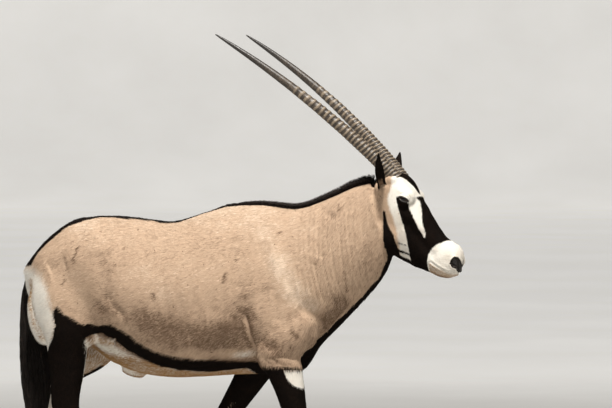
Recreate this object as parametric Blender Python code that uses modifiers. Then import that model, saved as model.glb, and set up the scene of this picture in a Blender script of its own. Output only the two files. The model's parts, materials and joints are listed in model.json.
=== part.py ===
"""A life-size gemsbok bull, walking: one closed solid for each part of the body.

Metres, +Z up, +X the way the animal faces, +Y its left side. The origin is on the floor, under the
middle of the animal. Every solid is the outer shape, out to the tips of the coat.
"""
import math

import bmesh
import bpy
import numpy as np
from mathutils import Matrix, Vector

# ---------------------------------------------------------------- driving sizes (metres)
GAP = 0.0005            # between neighbouring solids
VOXEL = 0.0085          # fineness of the body before it is thinned out
BODY_TRIANGLES = 4400
MANE = 0.022            # height of the standing mane along the neck
EYE_R = 0.0195
EYE = (0.6640, 0.0590, 1.2020)
HORN_BASE = (0.600, 0.034, 1.296)
HORN_TIP = (-0.030, 0.136, 1.785)
HORN_BOW = 0.027        # how far the horn bows up from its chord
HORN_SPREAD = 0.018     # how far it bows outwards
HORN_R = 0.0240
HEAD_TURN = 5.0         # degrees the head is turned to the animal's right
TURN_FROM, TURN_TO = 0.36, 0.60
HORN_RINGS = 13
CORONET = 0.060         # height of the hoof
HOOF_LONG, HOOF_WIDE = 0.118, 0.047
EAR_WIDE, EAR_THICK = 0.050, 0.0055
MIDDLE_X = 0.028        # the sizes below count from a point this far behind the animal's middle


# ---------------------------------------------------------------- curves and lofts
def smooth_rows(rows, per_span):
    """Rows of numbers joined by a smooth curve through each of them."""
    p = np.array(rows, float)
    step = np.linalg.norm(np.diff(p[:, :4], axis=0), axis=1) + 1e-6
    t = np.concatenate([[0], np.cumsum(np.sqrt(step))])
    m = np.gradient(p, t, axis=0)
    out = []
    for i in range(len(p) - 1):
        h = t[i + 1] - t[i]
        for k in range(per_span):
            s = k / per_span
            a, b = 2 * s**3 - 3 * s**2 + 1, s**3 - 2 * s**2 + s
            c, d = -2 * s**3 + 3 * s**2, s**3 - s**2
            out.append(a * p[i] + b * h * m[i] + c * p[i + 1] + d * h * m[i + 1])
    out.append(p[-1])
    return np.array(out)


def skin_rings(bm, rings):
    """Joins closed rings of points into a tube with both ends closed."""
    made = [[bm.verts.new(p) for p in ring] for ring in rings]
    n = len(made[0])
    for a, b in zip(made, made[1:]):
        for i in range(n):
            bm.faces.new((a[i], a[(i + 1) % n], b[(i + 1) % n], b[i]))
    bm.faces.new(list(reversed(made[0])))
    bm.faces.new(made[-1])


def power(v, n):
    return math.copysign(abs(v) ** (2.0 / n), v)


def midline_loft(bm, rows, per_span=4, sides=28):
    """A symmetric body. Each row is the top point and the bottom point of a section (x, z, x, z), its
    half width, where it is widest (a share of its height) and how square its top and bottom are."""
    rings = []
    for xt, zt, xb, zb, w, f, nt, nb in smooth_rows(rows, per_span):
        top, bottom = Vector((xt, 0, zt)), Vector((xb, 0, zb))
        wide = bottom.lerp(top, f)
        ring = []
        for i in range(sides):
            a = 2 * math.pi * i / sides
            n = nt if math.cos(a) > 0 else nb
            c = power(math.cos(a), n)
            p = wide + (top - wide) * c if c > 0 else wide + (wide - bottom) * c
            ring.append(p + Vector((0, w * power(math.sin(a), n), 0)))
        rings.append(ring)
    skin_rings(bm, rings)


def limb_loft(bm, rows, per_span=4, sides=20, flip=1):
    """A limb. Each row is a centre (x, y, z) and the reach to the front, to the back and sideways."""
    p = smooth_rows(rows, per_span)
    p[:, 1] *= flip
    axis = np.gradient(p[:, :3], axis=0)
    rings = []
    for row, along in zip(p, axis):
        x, y, z, front, back, side = row
        along = Vector(along).normalized()
        out = (Vector((0, 1, 0)) - along * along.y).normalized()
        ahead = out.cross(along).normalized()
        if ahead.x < 0:
            ahead.negate()
        ring = []
        for i in range(sides):
            a = 2 * math.pi * i / sides
            c, s = math.cos(a), math.sin(a)
            ring.append(Vector((x, y, z)) + ahead * (c * (front if c > 0 else back)) + out * (s * side))
        rings.append(ring)
    skin_rings(bm, rings)


def blob(bm, centre, radii, lean=0.0, both=True, cant=0.0):
    """An ellipsoid muscle or bone, canted about X and leant about Y, in degrees; on both sides if both."""
    for side in (1, -1) if both else (1,):
        turn = Matrix.Rotation(math.radians(cant * side), 4, "X") @ Matrix.Rotation(math.radians(lean), 4, "Y")
        place = Matrix.Translation((centre[0], centre[1] * side, centre[2]))
        bmesh.ops.create_uvsphere(bm, u_segments=24, v_segments=14, radius=1.0,
                                  matrix=place @ turn @ Matrix.Diagonal((*radii, 1)))


# ---------------------------------------------------------------- the animal's form
# trunk and neck: top x, z; bottom x, z; half width; widest at; squareness of top and bottom
TRUNK = [
    (-0.800, 0.944, -0.785, 0.900, 0.022, 0.5, 2.0, 2.0),
    (-0.776, 0.978, -0.765, 0.815, 0.070, 0.55, 2.0, 2.0),
    (-0.729, 1.030, -0.728, 0.745, 0.112, 0.60, 2.0, 2.0),
    (-0.672, 1.078, -0.675, 0.700, 0.146, 0.64, 2.0, 2.0),
    (-0.597, 1.123, -0.600, 0.665, 0.168, 0.66, 2.0, 2.0),
    (-0.521, 1.134, -0.520, 0.645, 0.182, 0.64, 2.0, 2.0),
    (-0.446, 1.134, -0.449, 0.606, 0.196, 0.56, 2.0, 2.1),
    (-0.332, 1.125, -0.340, 0.568, 0.212, 0.50, 2.0, 2.1),
    (-0.219, 1.120, -0.230, 0.556, 0.222, 0.47, 1.95, 2.1),
    (-0.106, 1.150, -0.120, 0.560, 0.218, 0.46, 1.85, 2.1),
    (-0.010, 1.183, -0.010, 0.568, 0.204, 0.45, 1.75, 2.0),
    (0.083, 1.190, 0.080, 0.573, 0.180, 0.44, 1.70, 2.0),
    (0.159, 1.183, 0.180, 0.574, 0.165, 0.44, 1.75, 1.95),
    (0.222, 1.174, 0.262, 0.592, 0.150, 0.45, 1.85, 1.9),
    (0.275, 1.178, 0.322, 0.672, 0.134, 0.46, 1.95, 1.9),
    (0.329, 1.196, 0.385, 0.737, 0.118, 0.47, 2.0, 1.9),
    (0.385, 1.218, 0.462, 0.816, 0.103, 0.48, 2.0, 1.9),
    (0.435, 1.240, 0.528, 0.884, 0.090, 0.50, 2.0, 1.9),
    (0.480, 1.256, 0.572, 0.945, 0.078, 0.52, 2.0, 1.9),
    (0.520, 1.266, 0.596, 1.000, 0.068, 0.55, 2.0, 1.9),
]
HEAD = [
    (0.590, 1.292, 0.480, 1.200, 0.040, 0.55, 2.2, 2.0),
    (0.612, 1.298, 0.494, 1.172, 0.056, 0.58, 2.4, 2.0),
    (0.645, 1.288, 0.508, 1.135, 0.066, 0.62, 2.5, 1.9),
    (0.677, 1.253, 0.529, 1.079, 0.071, 0.64, 2.5, 1.8),
    (0.706, 1.203, 0.559, 1.025, 0.066, 0.60, 2.3, 1.8),
    (0.733, 1.160, 0.600, 0.998, 0.057, 0.54, 2.2, 1.8),
    (0.759, 1.121, 0.642, 0.977, 0.049, 0.52, 2.2, 1.9),
    (0.784, 1.085, 0.680, 0.960, 0.043, 0.50, 2.3, 2.0),
    (0.804, 1.064, 0.714, 0.949, 0.041, 0.50, 2.4, 2.1),
    (0.826, 1.053, 0.749, 0.936, 0.043, 0.52, 2.5, 2.2),
    (0.845, 1.039, 0.784, 0.925, 0.042, 0.52, 2.5, 2.2),
    (0.857, 1.018, 0.815, 0.926, 0.036, 0.52, 2.4, 2.2),
    (0.862, 0.994, 0.840, 0.938, 0.026, 0.52, 2.2, 2.2),
    (0.860, 0.976, 0.852, 0.958, 0.010, 0.50, 2.0, 2.0),
]
# limbs: centre x, y, z; reach to the front, to the back and sideways. The right legs are at -Y.
FORE_LOW = [  # from the knee down, measured from the knee's centre, for a straight leg
    (0.000, 0.000, 0.000, 0.042, 0.038, 0.038),
    (0.004, 0.000, -0.034, 0.036, 0.034, 0.034),
    (0.011, 0.000, -0.085, 0.024, 0.028, 0.0255),
    (0.026, 0.000, -0.175, 0.0235, 0.028, 0.0245),
    (0.036, 0.000, -0.232, 0.028, 0.034, 0.030),
]
RIGHT_FORE = [
    (0.290, -0.105, 0.800, 0.055, 0.065, 0.050),
    (0.250, -0.122, 0.735, 0.085, 0.090, 0.060),
    (0.208, -0.128, 0.665, 0.088, 0.085, 0.060),
    (0.229, -0.128, 0.600, 0.070, 0.066, 0.052),
    (0.251, -0.126, 0.530, 0.056, 0.056, 0.046),
    (0.267, -0.124, 0.460, 0.047, 0.047, 0.041),
    (0.278, -0.123, 0.415, 0.043, 0.040, 0.038),
    (0.286, -0.122, 0.385, 0.044, 0.038, 0.038),
    (0.293, -0.122, 0.350, 0.037, 0.035, 0.034),
    (0.306, -0.121, 0.290, 0.0245, 0.028, 0.0255),
    (0.326, -0.120, 0.200, 0.0235, 0.029, 0.0245),
    (0.337, -0.120, 0.150, 0.027, 0.035, 0.030),
    (0.346, -0.120, 0.118, 0.031, 0.034, 0.033),
    (0.361, -0.120, 0.085, 0.028, 0.029, 0.033),
    (0.372, -0.120, 0.055, 0.035, 0.034, 0.042),
]
LEFT_FORE = [
    (0.225, 0.105, 0.800, 0.055, 0.065, 0.050),
    (0.155, 0.122, 0.730, 0.085, 0.090, 0.060),
    (0.088, 0.128, 0.662, 0.088, 0.085, 0.060),
    (0.046, 0.128, 0.600, 0.068, 0.066, 0.052),
    (0.003, 0.126, 0.530, 0.056, 0.056, 0.046),
    (-0.043, 0.124, 0.460, 0.047, 0.047, 0.041),
    (-0.072, 0.123, 0.420, 0.043, 0.040, 0.038),
    (-0.089, 0.122, 0.390, 0.044, 0.038, 0.038),
    (-0.103, 0.122, 0.355, 0.037, 0.035, 0.034),
    (-0.124, 0.121, 0.300, 0.0245, 0.028, 0.0255),
    (-0.153, 0.120, 0.210, 0.0235, 0.029, 0.0245),
    (-0.168, 0.120, 0.155, 0.027, 0.035, 0.030),
    (-0.172, 0.120, 0.122, 0.031, 0.034, 0.033),
    (-0.162, 0.120, 0.087, 0.028, 0.029, 0.033),
    (-0.152, 0.120, 0.055, 0.035, 0.034, 0.042),
]
RIGHT_HIND = [
    (-0.600, -0.085, 0.980, 0.080, 0.080, 0.050),
    (-0.608, -0.110, 0.880, 0.120, 0.118, 0.066),
    (-0.592, -0.122, 0.780, 0.112, 0.106, 0.070),
    (-0.578, -0.128, 0.705, 0.078, 0.094, 0.064),
    (-0.574, -0.128, 0.640, 0.060, 0.088, 0.056),
    (-0.576, -0.126, 0.570, 0.050, 0.080, 0.047),
    (-0.582, -0.124, 0.505, 0.042, 0.072, 0.040),
    (-0.584, -0.123, 0.460, 0.040, 0.068, 0.036),
    (-0.582, -0.122, 0.425, 0.040, 0.058, 0.037),
    (-0.575, -0.122, 0.385, 0.035, 0.044, 0.034),
    (-0.564, -0.121, 0.335, 0.027, 0.031, 0.028),
    (-0.546, -0.120, 0.240, 0.025, 0.030, 0.026),
    (-0.533, -0.120, 0.165, 0.027, 0.036, 0.031),
    (-0.524, -0.120, 0.127, 0.031, 0.036, 0.034),
    (-0.508, -0.120, 0.090, 0.028, 0.029, 0.033),
    (-0.494, -0.120, 0.050, 0.035, 0.034, 0.042),
]
LEFT_HIND = [
    (-0.600, 0.085, 0.980, 0.080, 0.080, 0.050),
    (-0.612, 0.110, 0.880, 0.120, 0.122, 0.066),
    (-0.585, 0.122, 0.790, 0.120, 0.115, 0.070),
    (-0.560, 0.128, 0.715, 0.105, 0.104, 0.064),
    (-0.585, 0.128, 0.645, 0.078, 0.088, 0.056),
    (-0.642, 0.126, 0.592, 0.058, 0.068, 0.047),
    (-0.703, 0.124, 0.548, 0.042, 0.055, 0.040),
    (-0.745, 0.123, 0.514, 0.038, 0.052, 0.036),
    (-0.764, 0.122, 0.482, 0.040, 0.046, 0.037),
    (-0.762, 0.122, 0.440, 0.035, 0.039, 0.034),
    (-0.752, 0.121, 0.390, 0.027, 0.031, 0.028),
    (-0.733, 0.120, 0.295, 0.025, 0.030, 0.026),
    (-0.721, 0.120, 0.225, 0.027, 0.036, 0.031),
    (-0.716, 0.120, 0.188, 0.031, 0.036, 0.034),
    (-0.716, 0.120, 0.146, 0.028, 0.029, 0.033),
    (-0.716, 0.120, 0.098, 0.035, 0.034, 0.042),
]
TAIL = [
    (-0.735, 0.0, 0.982, 0.028, 0.028, 0.028),
    (-0.762, 0.0, 0.945, 0.024, 0.024, 0.027),
    (-0.780, 0.0, 0.900, 0.020, 0.020, 0.024),
    (-0.789, 0.0, 0.850, 0.022, 0.022, 0.024),
    (-0.784, 0.0, 0.770, 0.035, 0.035, 0.034),
    (-0.775, 0.0, 0.690, 0.050, 0.048, 0.044),
    (-0.769, 0.0, 0.600, 0.053, 0.052, 0.048),
    (-0.764, 0.0, 0.510, 0.047, 0.049, 0.044),
    (-0.763, 0.0, 0.430, 0.034, 0.036, 0.034),
    (-0.765, 0.0, 0.370, 0.020, 0.021, 0.020),
    (-0.767, 0.0, 0.335, 0.006, 0.006, 0.006),
]
# hooves: where the toes' middle stands, how much the heel is raised in degrees
HOOVES = {
    "right_fore": (0.384, -0.120, 0.0),
    "left_fore": (-0.140, 0.120, 0.0),
    "right_hind": (-0.482, -0.120, 0.0),
    "left_hind": (-0.756, 0.120, 62.0),
}


def turned(p, rigid=False):
    """The bend of the neck: the head and all it carries is turned to the right."""
    full = math.radians(HEAD_TURN)
    span = TURN_TO - TURN_FROM
    x = TURN_TO if rigid else min(max(p.x, TURN_FROM), TURN_TO)
    s = (x - TURN_FROM) / span
    angle = full * s
    ahead = x - TURN_FROM
    cx = TURN_FROM + ahead
    cy = -full * span * s * s / 2
    beyond = p.x - x
    return Vector((cx + beyond * math.cos(angle) + p.y * math.sin(angle),
                   cy - beyond * math.sin(angle) + p.y * math.cos(angle), p.z))


def muscles(bm):
    """Bones and muscles that show under the skin."""
    blob(bm, (0.178, 0.108, 0.930), (0.085, 0.045, 0.240), lean=-20, cant=14)   # shoulder blade
    blob(bm, (0.160, 0.118, 0.775), (0.130, 0.062, 0.120), lean=20)    # triceps
    blob(bm, (0.272, -0.090, 0.745), (0.066, 0.062, 0.085), lean=-30, both=False)   # point of the shoulder, leg forward
    blob(bm, (0.226, 0.084, 0.745), (0.060, 0.058, 0.085), lean=-30, both=False)    # and leg back
    blob(bm, (-0.500, 0.120, 1.005), (0.085, 0.055, 0.055), lean=20, cant=20)   # point of the hip
    blob(bm, (-0.625, 0.088, 0.940), (0.108, 0.070, 0.105), lean=30)   # rump
    blob(bm, (-0.648, 0.098, 0.830), (0.100, 0.066, 0.165), lean=10)   # back of the thigh
    blob(bm, (-0.545, 0.122, 0.810), (0.095, 0.055, 0.150), lean=-14)  # front of the thigh
    blob(bm, (-0.170, 0.118, 0.795), (0.300, 0.102, 0.200), lean=2)    # ribs
    blob(bm, (0.610, 0.034, 1.104), (0.066, 0.028, 0.085), lean=38, cant=8)     # cheek
    blob(bm, (0.662, 0.045, 1.208), (0.040, 0.026, 0.034), lean=30)    # orbit
    blob(bm, (0.832, 0.022, 1.000), (0.022, 0.022, 0.030), lean=30)    # wing of the nostril
    blob(bm, (0.610, 0.034, 1.268), (0.034, 0.032, 0.026), lean=0)     # foot of the horn
    blob(bm, (0.572, 0.050, 1.240), (0.026, 0.024, 0.030), lean=20)    # root of the ear
    blob(bm, (-0.380, 0.0, 0.578), (0.052, 0.022, 0.024), lean=14, both=False)  # sheath
    blob(bm, (-0.590, 0.018, 0.655), (0.034, 0.030, 0.052), lean=0)    # scrotum


def heels(bm):
    """Points of the hocks, the knees' pads and the dew claws."""
    for rows, up in ((RIGHT_HIND, 6), (LEFT_HIND, 6)):
        a, b = np.array(rows[up + 2][:3]), np.array(rows[up][:3])
        along = (b - a) / np.linalg.norm(b - a)
        back = np.array([-along[2], 0, along[0]])
        back = back if back[0] < 0 else -back
        p = a + 0.045 * back + 0.028 * along
        blob(bm, p, (0.017, 0.018, 0.036), both=False,
             lean=math.degrees(math.atan2(along[0], along[2])))
    for rows in (RIGHT_FORE, LEFT_FORE, RIGHT_HIND, LEFT_HIND):
        fetlock, pastern = np.array(rows[-3][:3]), np.array(rows[-2][:3])
        along = (fetlock - pastern) / np.linalg.norm(fetlock - pastern)
        back = np.array([-along[2], 0, along[0]])
        back = back if back[0] < 0 else -back
        for side in (-1, 1):
            p = fetlock + back * 0.034 + np.array([0, side * 0.017, 0]) - along * 0.012
            blob(bm, p, (0.012, 0.010, 0.015), both=False)


def mane(bm):
    """The standing mane, a low ridge from the nape to the withers."""
    crest = [(t[0], t[1]) for t in TRUNK if t[0] > -0.02]
    rows = []
    for i, (x, z) in enumerate(crest):
        share = math.sin(math.pi * min(1.0, (i + 0.35) / (len(crest) - 0.5))) ** 0.5
        high = MANE * (0.45 + 0.75 * i / (len(crest) - 1)) * share
        rows.append((x - 0.3 * high, 0.0, z - 0.004, high + 0.004, high + 0.004, 0.021))
    limb_loft(bm, rows, sides=16)


# ---------------------------------------------------------------- scene helpers
def clear_scene():
    for o in list(bpy.data.objects):
        bpy.data.objects.remove(o, do_unlink=True)


def collection(name, hidden=False):
    made = bpy.data.collections.new(name)
    bpy.context.scene.collection.children.link(made)
    made.hide_render = hidden
    return made


def material(name, colour, rough):
    m = bpy.data.materials.new(name)
    m.use_nodes = True
    shader = m.node_tree.nodes["Principled BSDF"]
    shader.inputs["Base Color"].default_value = (*colour, 1)
    shader.inputs["Roughness"].default_value = rough
    shader.inputs["Metallic"].default_value = 0.0
    m.diffuse_color = (*colour, 1)
    return m


def object_of(name, bm, into, smooth=True):
    bmesh.ops.recalc_face_normals(bm, faces=bm.faces)
    if bm.calc_volume(signed=True) < 0:
        bmesh.ops.reverse_faces(bm, faces=bm.faces)
    mesh = bpy.data.meshes.new(name)
    bm.to_mesh(mesh)
    bm.free()
    if smooth:
        mesh.shade_smooth()
    o = bpy.data.objects.new(name, mesh)
    into.objects.link(o)
    return o


def baked(o):
    """The object's mesh with its modifiers applied, as the object's own mesh."""
    graph = bpy.context.evaluated_depsgraph_get()
    mesh = bpy.data.meshes.new_from_object(o.evaluated_get(graph))
    o.modifiers.clear()
    old, o.data = o.data, mesh
    bpy.data.meshes.remove(old)
    return o


def relaxed(o, rounds, share=None, keep=0.53):
    """Smooths the mesh without shrinking it: each round pulls in, then pushes out again. The share says
    how much of it each point takes part in."""
    mesh = o.data
    n = len(mesh.vertices)
    co = np.empty(n * 3, np.float32)
    mesh.vertices.foreach_get("co", co)
    co = co.reshape(-1, 3).astype(float)
    edges = np.empty(len(mesh.edges) * 2, np.int32)
    mesh.edges.foreach_get("vertices", edges)
    a, b = edges.reshape(-1, 2).T
    degree = np.bincount(a, minlength=n) + np.bincount(b, minlength=n)
    for k in range(2 * rounds):
        mean = np.stack([np.bincount(a, co[b, i], n) + np.bincount(b, co[a, i], n) for i in range(3)], 1)
        mean /= np.maximum(degree, 1)[:, None]
        step = (mean - co) * (0.5 if k % 2 == 0 else -keep)
        co += step if share is None else step * share[:, None]
    mesh.vertices.foreach_set("co", co.astype(np.float32).ravel())
    mesh.update()
    return o


def cut(o, tool, operation):
    m = o.modifiers.new("cut", "BOOLEAN")
    m.object, m.operation, m.solver = tool, operation, "EXACT"
    return baked(o)


def copy_of(o, name, into):
    made = o.copy()
    made.data = o.data.copy()
    made.name = name
    into.objects.link(made)
    return made


def half(o, point, normal):
    """Keeps the side of a plane that its normal points away from, and closes the cut."""
    bm = bmesh.new()
    bm.from_mesh(o.data)
    bmesh.ops.bisect_plane(bm, geom=bm.verts[:] + bm.edges[:] + bm.faces[:], dist=1e-7,
                           plane_co=point, plane_no=normal, clear_outer=True)
    bmesh.ops.holes_fill(bm, edges=[e for e in bm.edges if e.is_boundary], sides=0)
    bmesh.ops.recalc_face_normals(bm, faces=bm.faces)
    bm.to_mesh(o.data)
    bm.free()
    return o


def swollen(o, by):
    """Moves every point outwards, so that the solid it was copied from fits inside."""
    normals = [v.normal.copy() for v in o.data.vertices]
    for v, n in zip(o.data.vertices, normals):
        v.co += n * by
    o.data.update()
    return o


def largest(o):
    """Drops the crumbs a cut can leave: keeps the biggest body."""
    bm = bmesh.new()
    bm.from_mesh(o.data)
    left, bodies = set(bm.verts), []
    while left:
        front = [left.pop()]
        body = list(front)
        while front:
            v = front.pop()
            for e in v.link_edges:
                w = e.other_vert(v)
                if w in left:
                    left.discard(w)
                    body.append(w)
                    front.append(w)
        bodies.append(body)
    bodies.sort(key=len)
    for body in bodies[:-1]:
        bmesh.ops.delete(bm, geom=body, context="VERTS")
    bm.to_mesh(o.data)
    bm.free()


def prism(name, outline, y0, y1, into):
    """A block with a side-view outline, between two distances from the midline."""
    bm = bmesh.new()
    rings = [[Vector((x, y, z)) for x, z in outline] for y in (y0, y1)]
    skin_rings(bm, rings)
    return object_of(name, bm, into, smooth=False)


# ---------------------------------------------------------------- body
def whole_body(into):
    bm = bmesh.new()
    midline_loft(bm, TRUNK)
    midline_loft(bm, [(r[0] + 0.005, r[1], r[2] + 0.005, *r[3:]) for r in HEAD])
    for rows in (RIGHT_FORE, LEFT_FORE, RIGHT_HIND, LEFT_HIND):
        limb_loft(bm, rows)
    muscles(bm)
    heels(bm)
    mane(bm)
    for v in bm.verts:
        v.co = turned(v.co)
    body = object_of("body", bm, into)
    m = body.modifiers.new("one skin", "REMESH")
    m.mode, m.voxel_size = "VOXEL", VOXEL
    baked(body)
    relaxed(body, 4)
    at = np.array([v.co for v in body.data.vertices])
    plain = np.clip((at[:, 2] - 0.52) / 0.12, 0, 1) * np.clip((0.54 - at[:, 0]) / 0.10, 0, 1)
    relaxed(body, 26, plain)
    m = body.modifiers.new("thin out", "DECIMATE")
    detail = body.vertex_groups.new(name="plain")
    x = np.array([v.co.x for v in body.data.vertices])
    z = np.array([v.co.z for v in body.data.vertices])
    for test, weight in ((x > 0.55, 0.32), ((x <= 0.55) & (z < 0.5), 0.55), ((x <= 0.55) & (z >= 0.5), 1.0)):
        detail.add(np.nonzero(test)[0].tolist(), weight, "REPLACE")
    m.vertex_group, m.vertex_group_factor = "plain", 1.0
    m.use_collapse_triangulate = True
    m.ratio = BODY_TRIANGLES / (2 * len(body.data.polygons))
    return baked(body)


# ---------------------------------------------------------------- horns, eyes, ears, hooves, tail
def horn_line(t, side):
    base, tip = Vector(HORN_BASE), Vector(HORN_TIP)
    p = base.lerp(tip, t) + Vector((0.61 * HORN_BOW, HORN_SPREAD, 0.79 * HORN_BOW)) * (4 * t * (1 - t))
    return turned(Vector((p.x, side * p.y, p.z)), rigid=True)


def horn_radius(t):
    return HORN_R * (1 - t) ** 0.6 + 0.0012


def horn(side, name, into, sides=10):
    """Rings on the lower 60 per cent, then a smooth taper to the tip."""
    rings = []
    steps = [i / (2 * HORN_RINGS) * 0.62 for i in range(2 * HORN_RINGS)] + [0.62 + 0.38 * k / 8 for k in range(9)]
    steps = [-0.035] + steps
    for k, t in enumerate(steps):
        at = horn_line(max(t, 0.0), side)
        along = (horn_line(max(t, 0) + 0.01, side) - horn_line(max(t, 0), side)).normalized()
        if t < 0:
            at = at + along * (t * 0.9)
        ridge = 0.045 * (1 - t / 0.62) + 0.03 if 0 <= t < 0.62 else 0.0
        r = horn_radius(max(t, 0.0)) * (1 + (ridge if k % 2 else -ridge))
        out = (Vector((0, 1, 0)) - along * along.y).normalized()
        up = out.cross(along)
        rings.append([at + (out * math.cos(a) * 0.94 + up * math.sin(a)) * r
                      for a in (2 * math.pi * i / sides for i in range(sides))])
    bm = bmesh.new()
    skin_rings(bm, rings)
    return object_of(name, bm, into)


def eye(side, name, into, sides=12):
    bm = bmesh.new()
    bmesh.ops.create_uvsphere(bm, u_segments=sides, v_segments=sides // 2 + 2, radius=EYE_R,
                              matrix=Matrix.Translation(turned(Vector((EYE[0], side * EYE[1], EYE[2]))))
                              @ Matrix.Rotation(math.radians(90), 4, "X"))
    return object_of(name, bm, into)


def ear_point(side, u, v, lift):
    """A point of the ear: u from root to tip, v across it from -1 to 1, lift off its inner face."""
    root = Vector((0.574, 0.062, 1.250))
    tip = Vector((0.606 if side < 0 else 0.560, 0.163, 1.367))
    up = (tip - root).normalized()
    face = Vector((0.76, 0.62, -0.10)) if side < 0 else Vector((0.28, 0.95, -0.10))
    face = (face - up * face.dot(up)).normalized()
    across = up.cross(face).normalized()
    wide = EAR_WIDE * 0.5 * (math.sin(math.pi * min(1.0, 0.16 + 0.84 * u) ** 0.9) ** 0.75 + 0.02) if u < 0.999 else 0.001
    wide = max(wide, 0.016 * (1 - u) ** 2)
    curl = 1.15 * (1 - 0.55 * u)
    a = v * curl
    p = root + up * (u * (tip - root).length * (1 - 0.05 * v * v)) + across * (wide * math.sin(a) / max(math.sin(curl), 0.3))
    p = p + face * (wide * (1 - math.cos(a)) * 1.1 - 0.010 * math.sin(math.pi * u) + lift)
    return turned(Vector((p.x, side * p.y, p.z)))


def ear(side, name, into, rows=9, cols=6):
    """A cupped leaf: an inner and an outer face joined round the rim."""
    rings = []
    for i in range(rows):
        u = i / (rows - 1)
        thick = EAR_THICK * (1 - 0.35 * u) + 0.010 * max(0.0, 0.22 - u) / 0.22
        inner = [ear_point(side, u, -1 + 2 * k / (cols - 1), thick / 2) for k in range(cols)]
        outer = [ear_point(side, u, 1 - 2 * k / (cols - 1), -thick / 2) for k in range(cols)]
        rings.append(inner + outer)
    bm = bmesh.new()
    skin_rings(bm, rings)
    return object_of(name, bm, into)


def hoof_frame(leg):
    """Carries the hoof from a flat stand to its place, turned about the tip of the toe."""
    x, y, raised = HOOVES[leg]
    toe = Vector((HOOF_LONG * 0.52, 0, 0.004))
    return (Matrix.Translation((x, y, 0)) @ Matrix.Translation(toe)
            @ Matrix.Rotation(math.radians(raised), 4, "Y") @ Matrix.Translation(-toe))


def claw(leg, inner, name, into, sides=14, levels=3):
    """One of a hoof's two claws: a slanted loft from the flat sole to the coronet."""
    frame = hoof_frame(leg)
    x, y, raised = HOOVES[leg]
    out = math.copysign(1, y) * (-1 if inner else 1)
    rings = []
    for k in range(levels):
        h = k / (levels - 1)
        front = HOOF_LONG * (0.56 - 0.42 * h)
        back = -HOOF_LONG * (0.44 - 0.03 * h + 0.03 * math.sin(math.pi * h))
        ring = []
        for i in range(sides):
            a = 2 * math.pi * i / sides
            c, s = math.cos(a), math.sin(a)
            px = (front + back) / 2 + (front - back) / 2 * c
            taper = 1.0 - 0.48 * max(0.0, c) ** 1.6 * (1 - 0.5 * h)
            py = HOOF_WIDE / 2 * s * taper * (1 - 0.10 * h)
            flat = s * out < 0
            if flat:
                py *= 0.88
            ring.append(Vector((px, py + out * (HOOF_WIDE * 0.5 + 0.0015 - 0.006 * max(0, c) ** 2), CORONET * h)))
        rings.append(ring)
    bm = bmesh.new()
    skin_rings(bm, rings)
    bm.transform(frame)
    o = object_of(name, bm, into, smooth=False)
    if raised:
        half(o, (0, 0, 0), (0, 0, -1))
    return o


def tail(name, into, sides=10):
    bm = bmesh.new()
    limb_loft(bm, TAIL, per_span=2, sides=sides)
    return object_of(name, bm, into)


# ---------------------------------------------------------------- build
def leg_block(rows, name, into):
    """Side-view outline of a whole leg, from the shoulder or the hip to below the floor."""
    side = math.copysign(1, rows[0][1])
    fore = rows[0][0] > -0.2
    pts = [r for r in rows if r[2] < (0.84 if fore else 0.90)]
    front, back = [], []
    for r in pts:
        spare = 0.05 * min(max((0.72 - r[2]) / 0.10, 0), 1)
        front.append((r[0] + r[3] + spare, r[2]))
        back.append((r[0] - r[4] - spare * 1.4, r[2]))
    top = [(pts[0][0] + 0.4 * pts[0][3], pts[0][2] + 0.05), (pts[0][0] - 0.4 * pts[0][4], pts[0][2] + 0.05)]
    foot = [(back[-1][0] - 0.06, -0.05), (front[-1][0] + 0.10, -0.05)]
    outline = top + back + foot + list(reversed(front))
    y0, y1 = sorted((side * 0.050, side * 0.5))
    return prism(name, outline, y0, y1, into)


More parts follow.
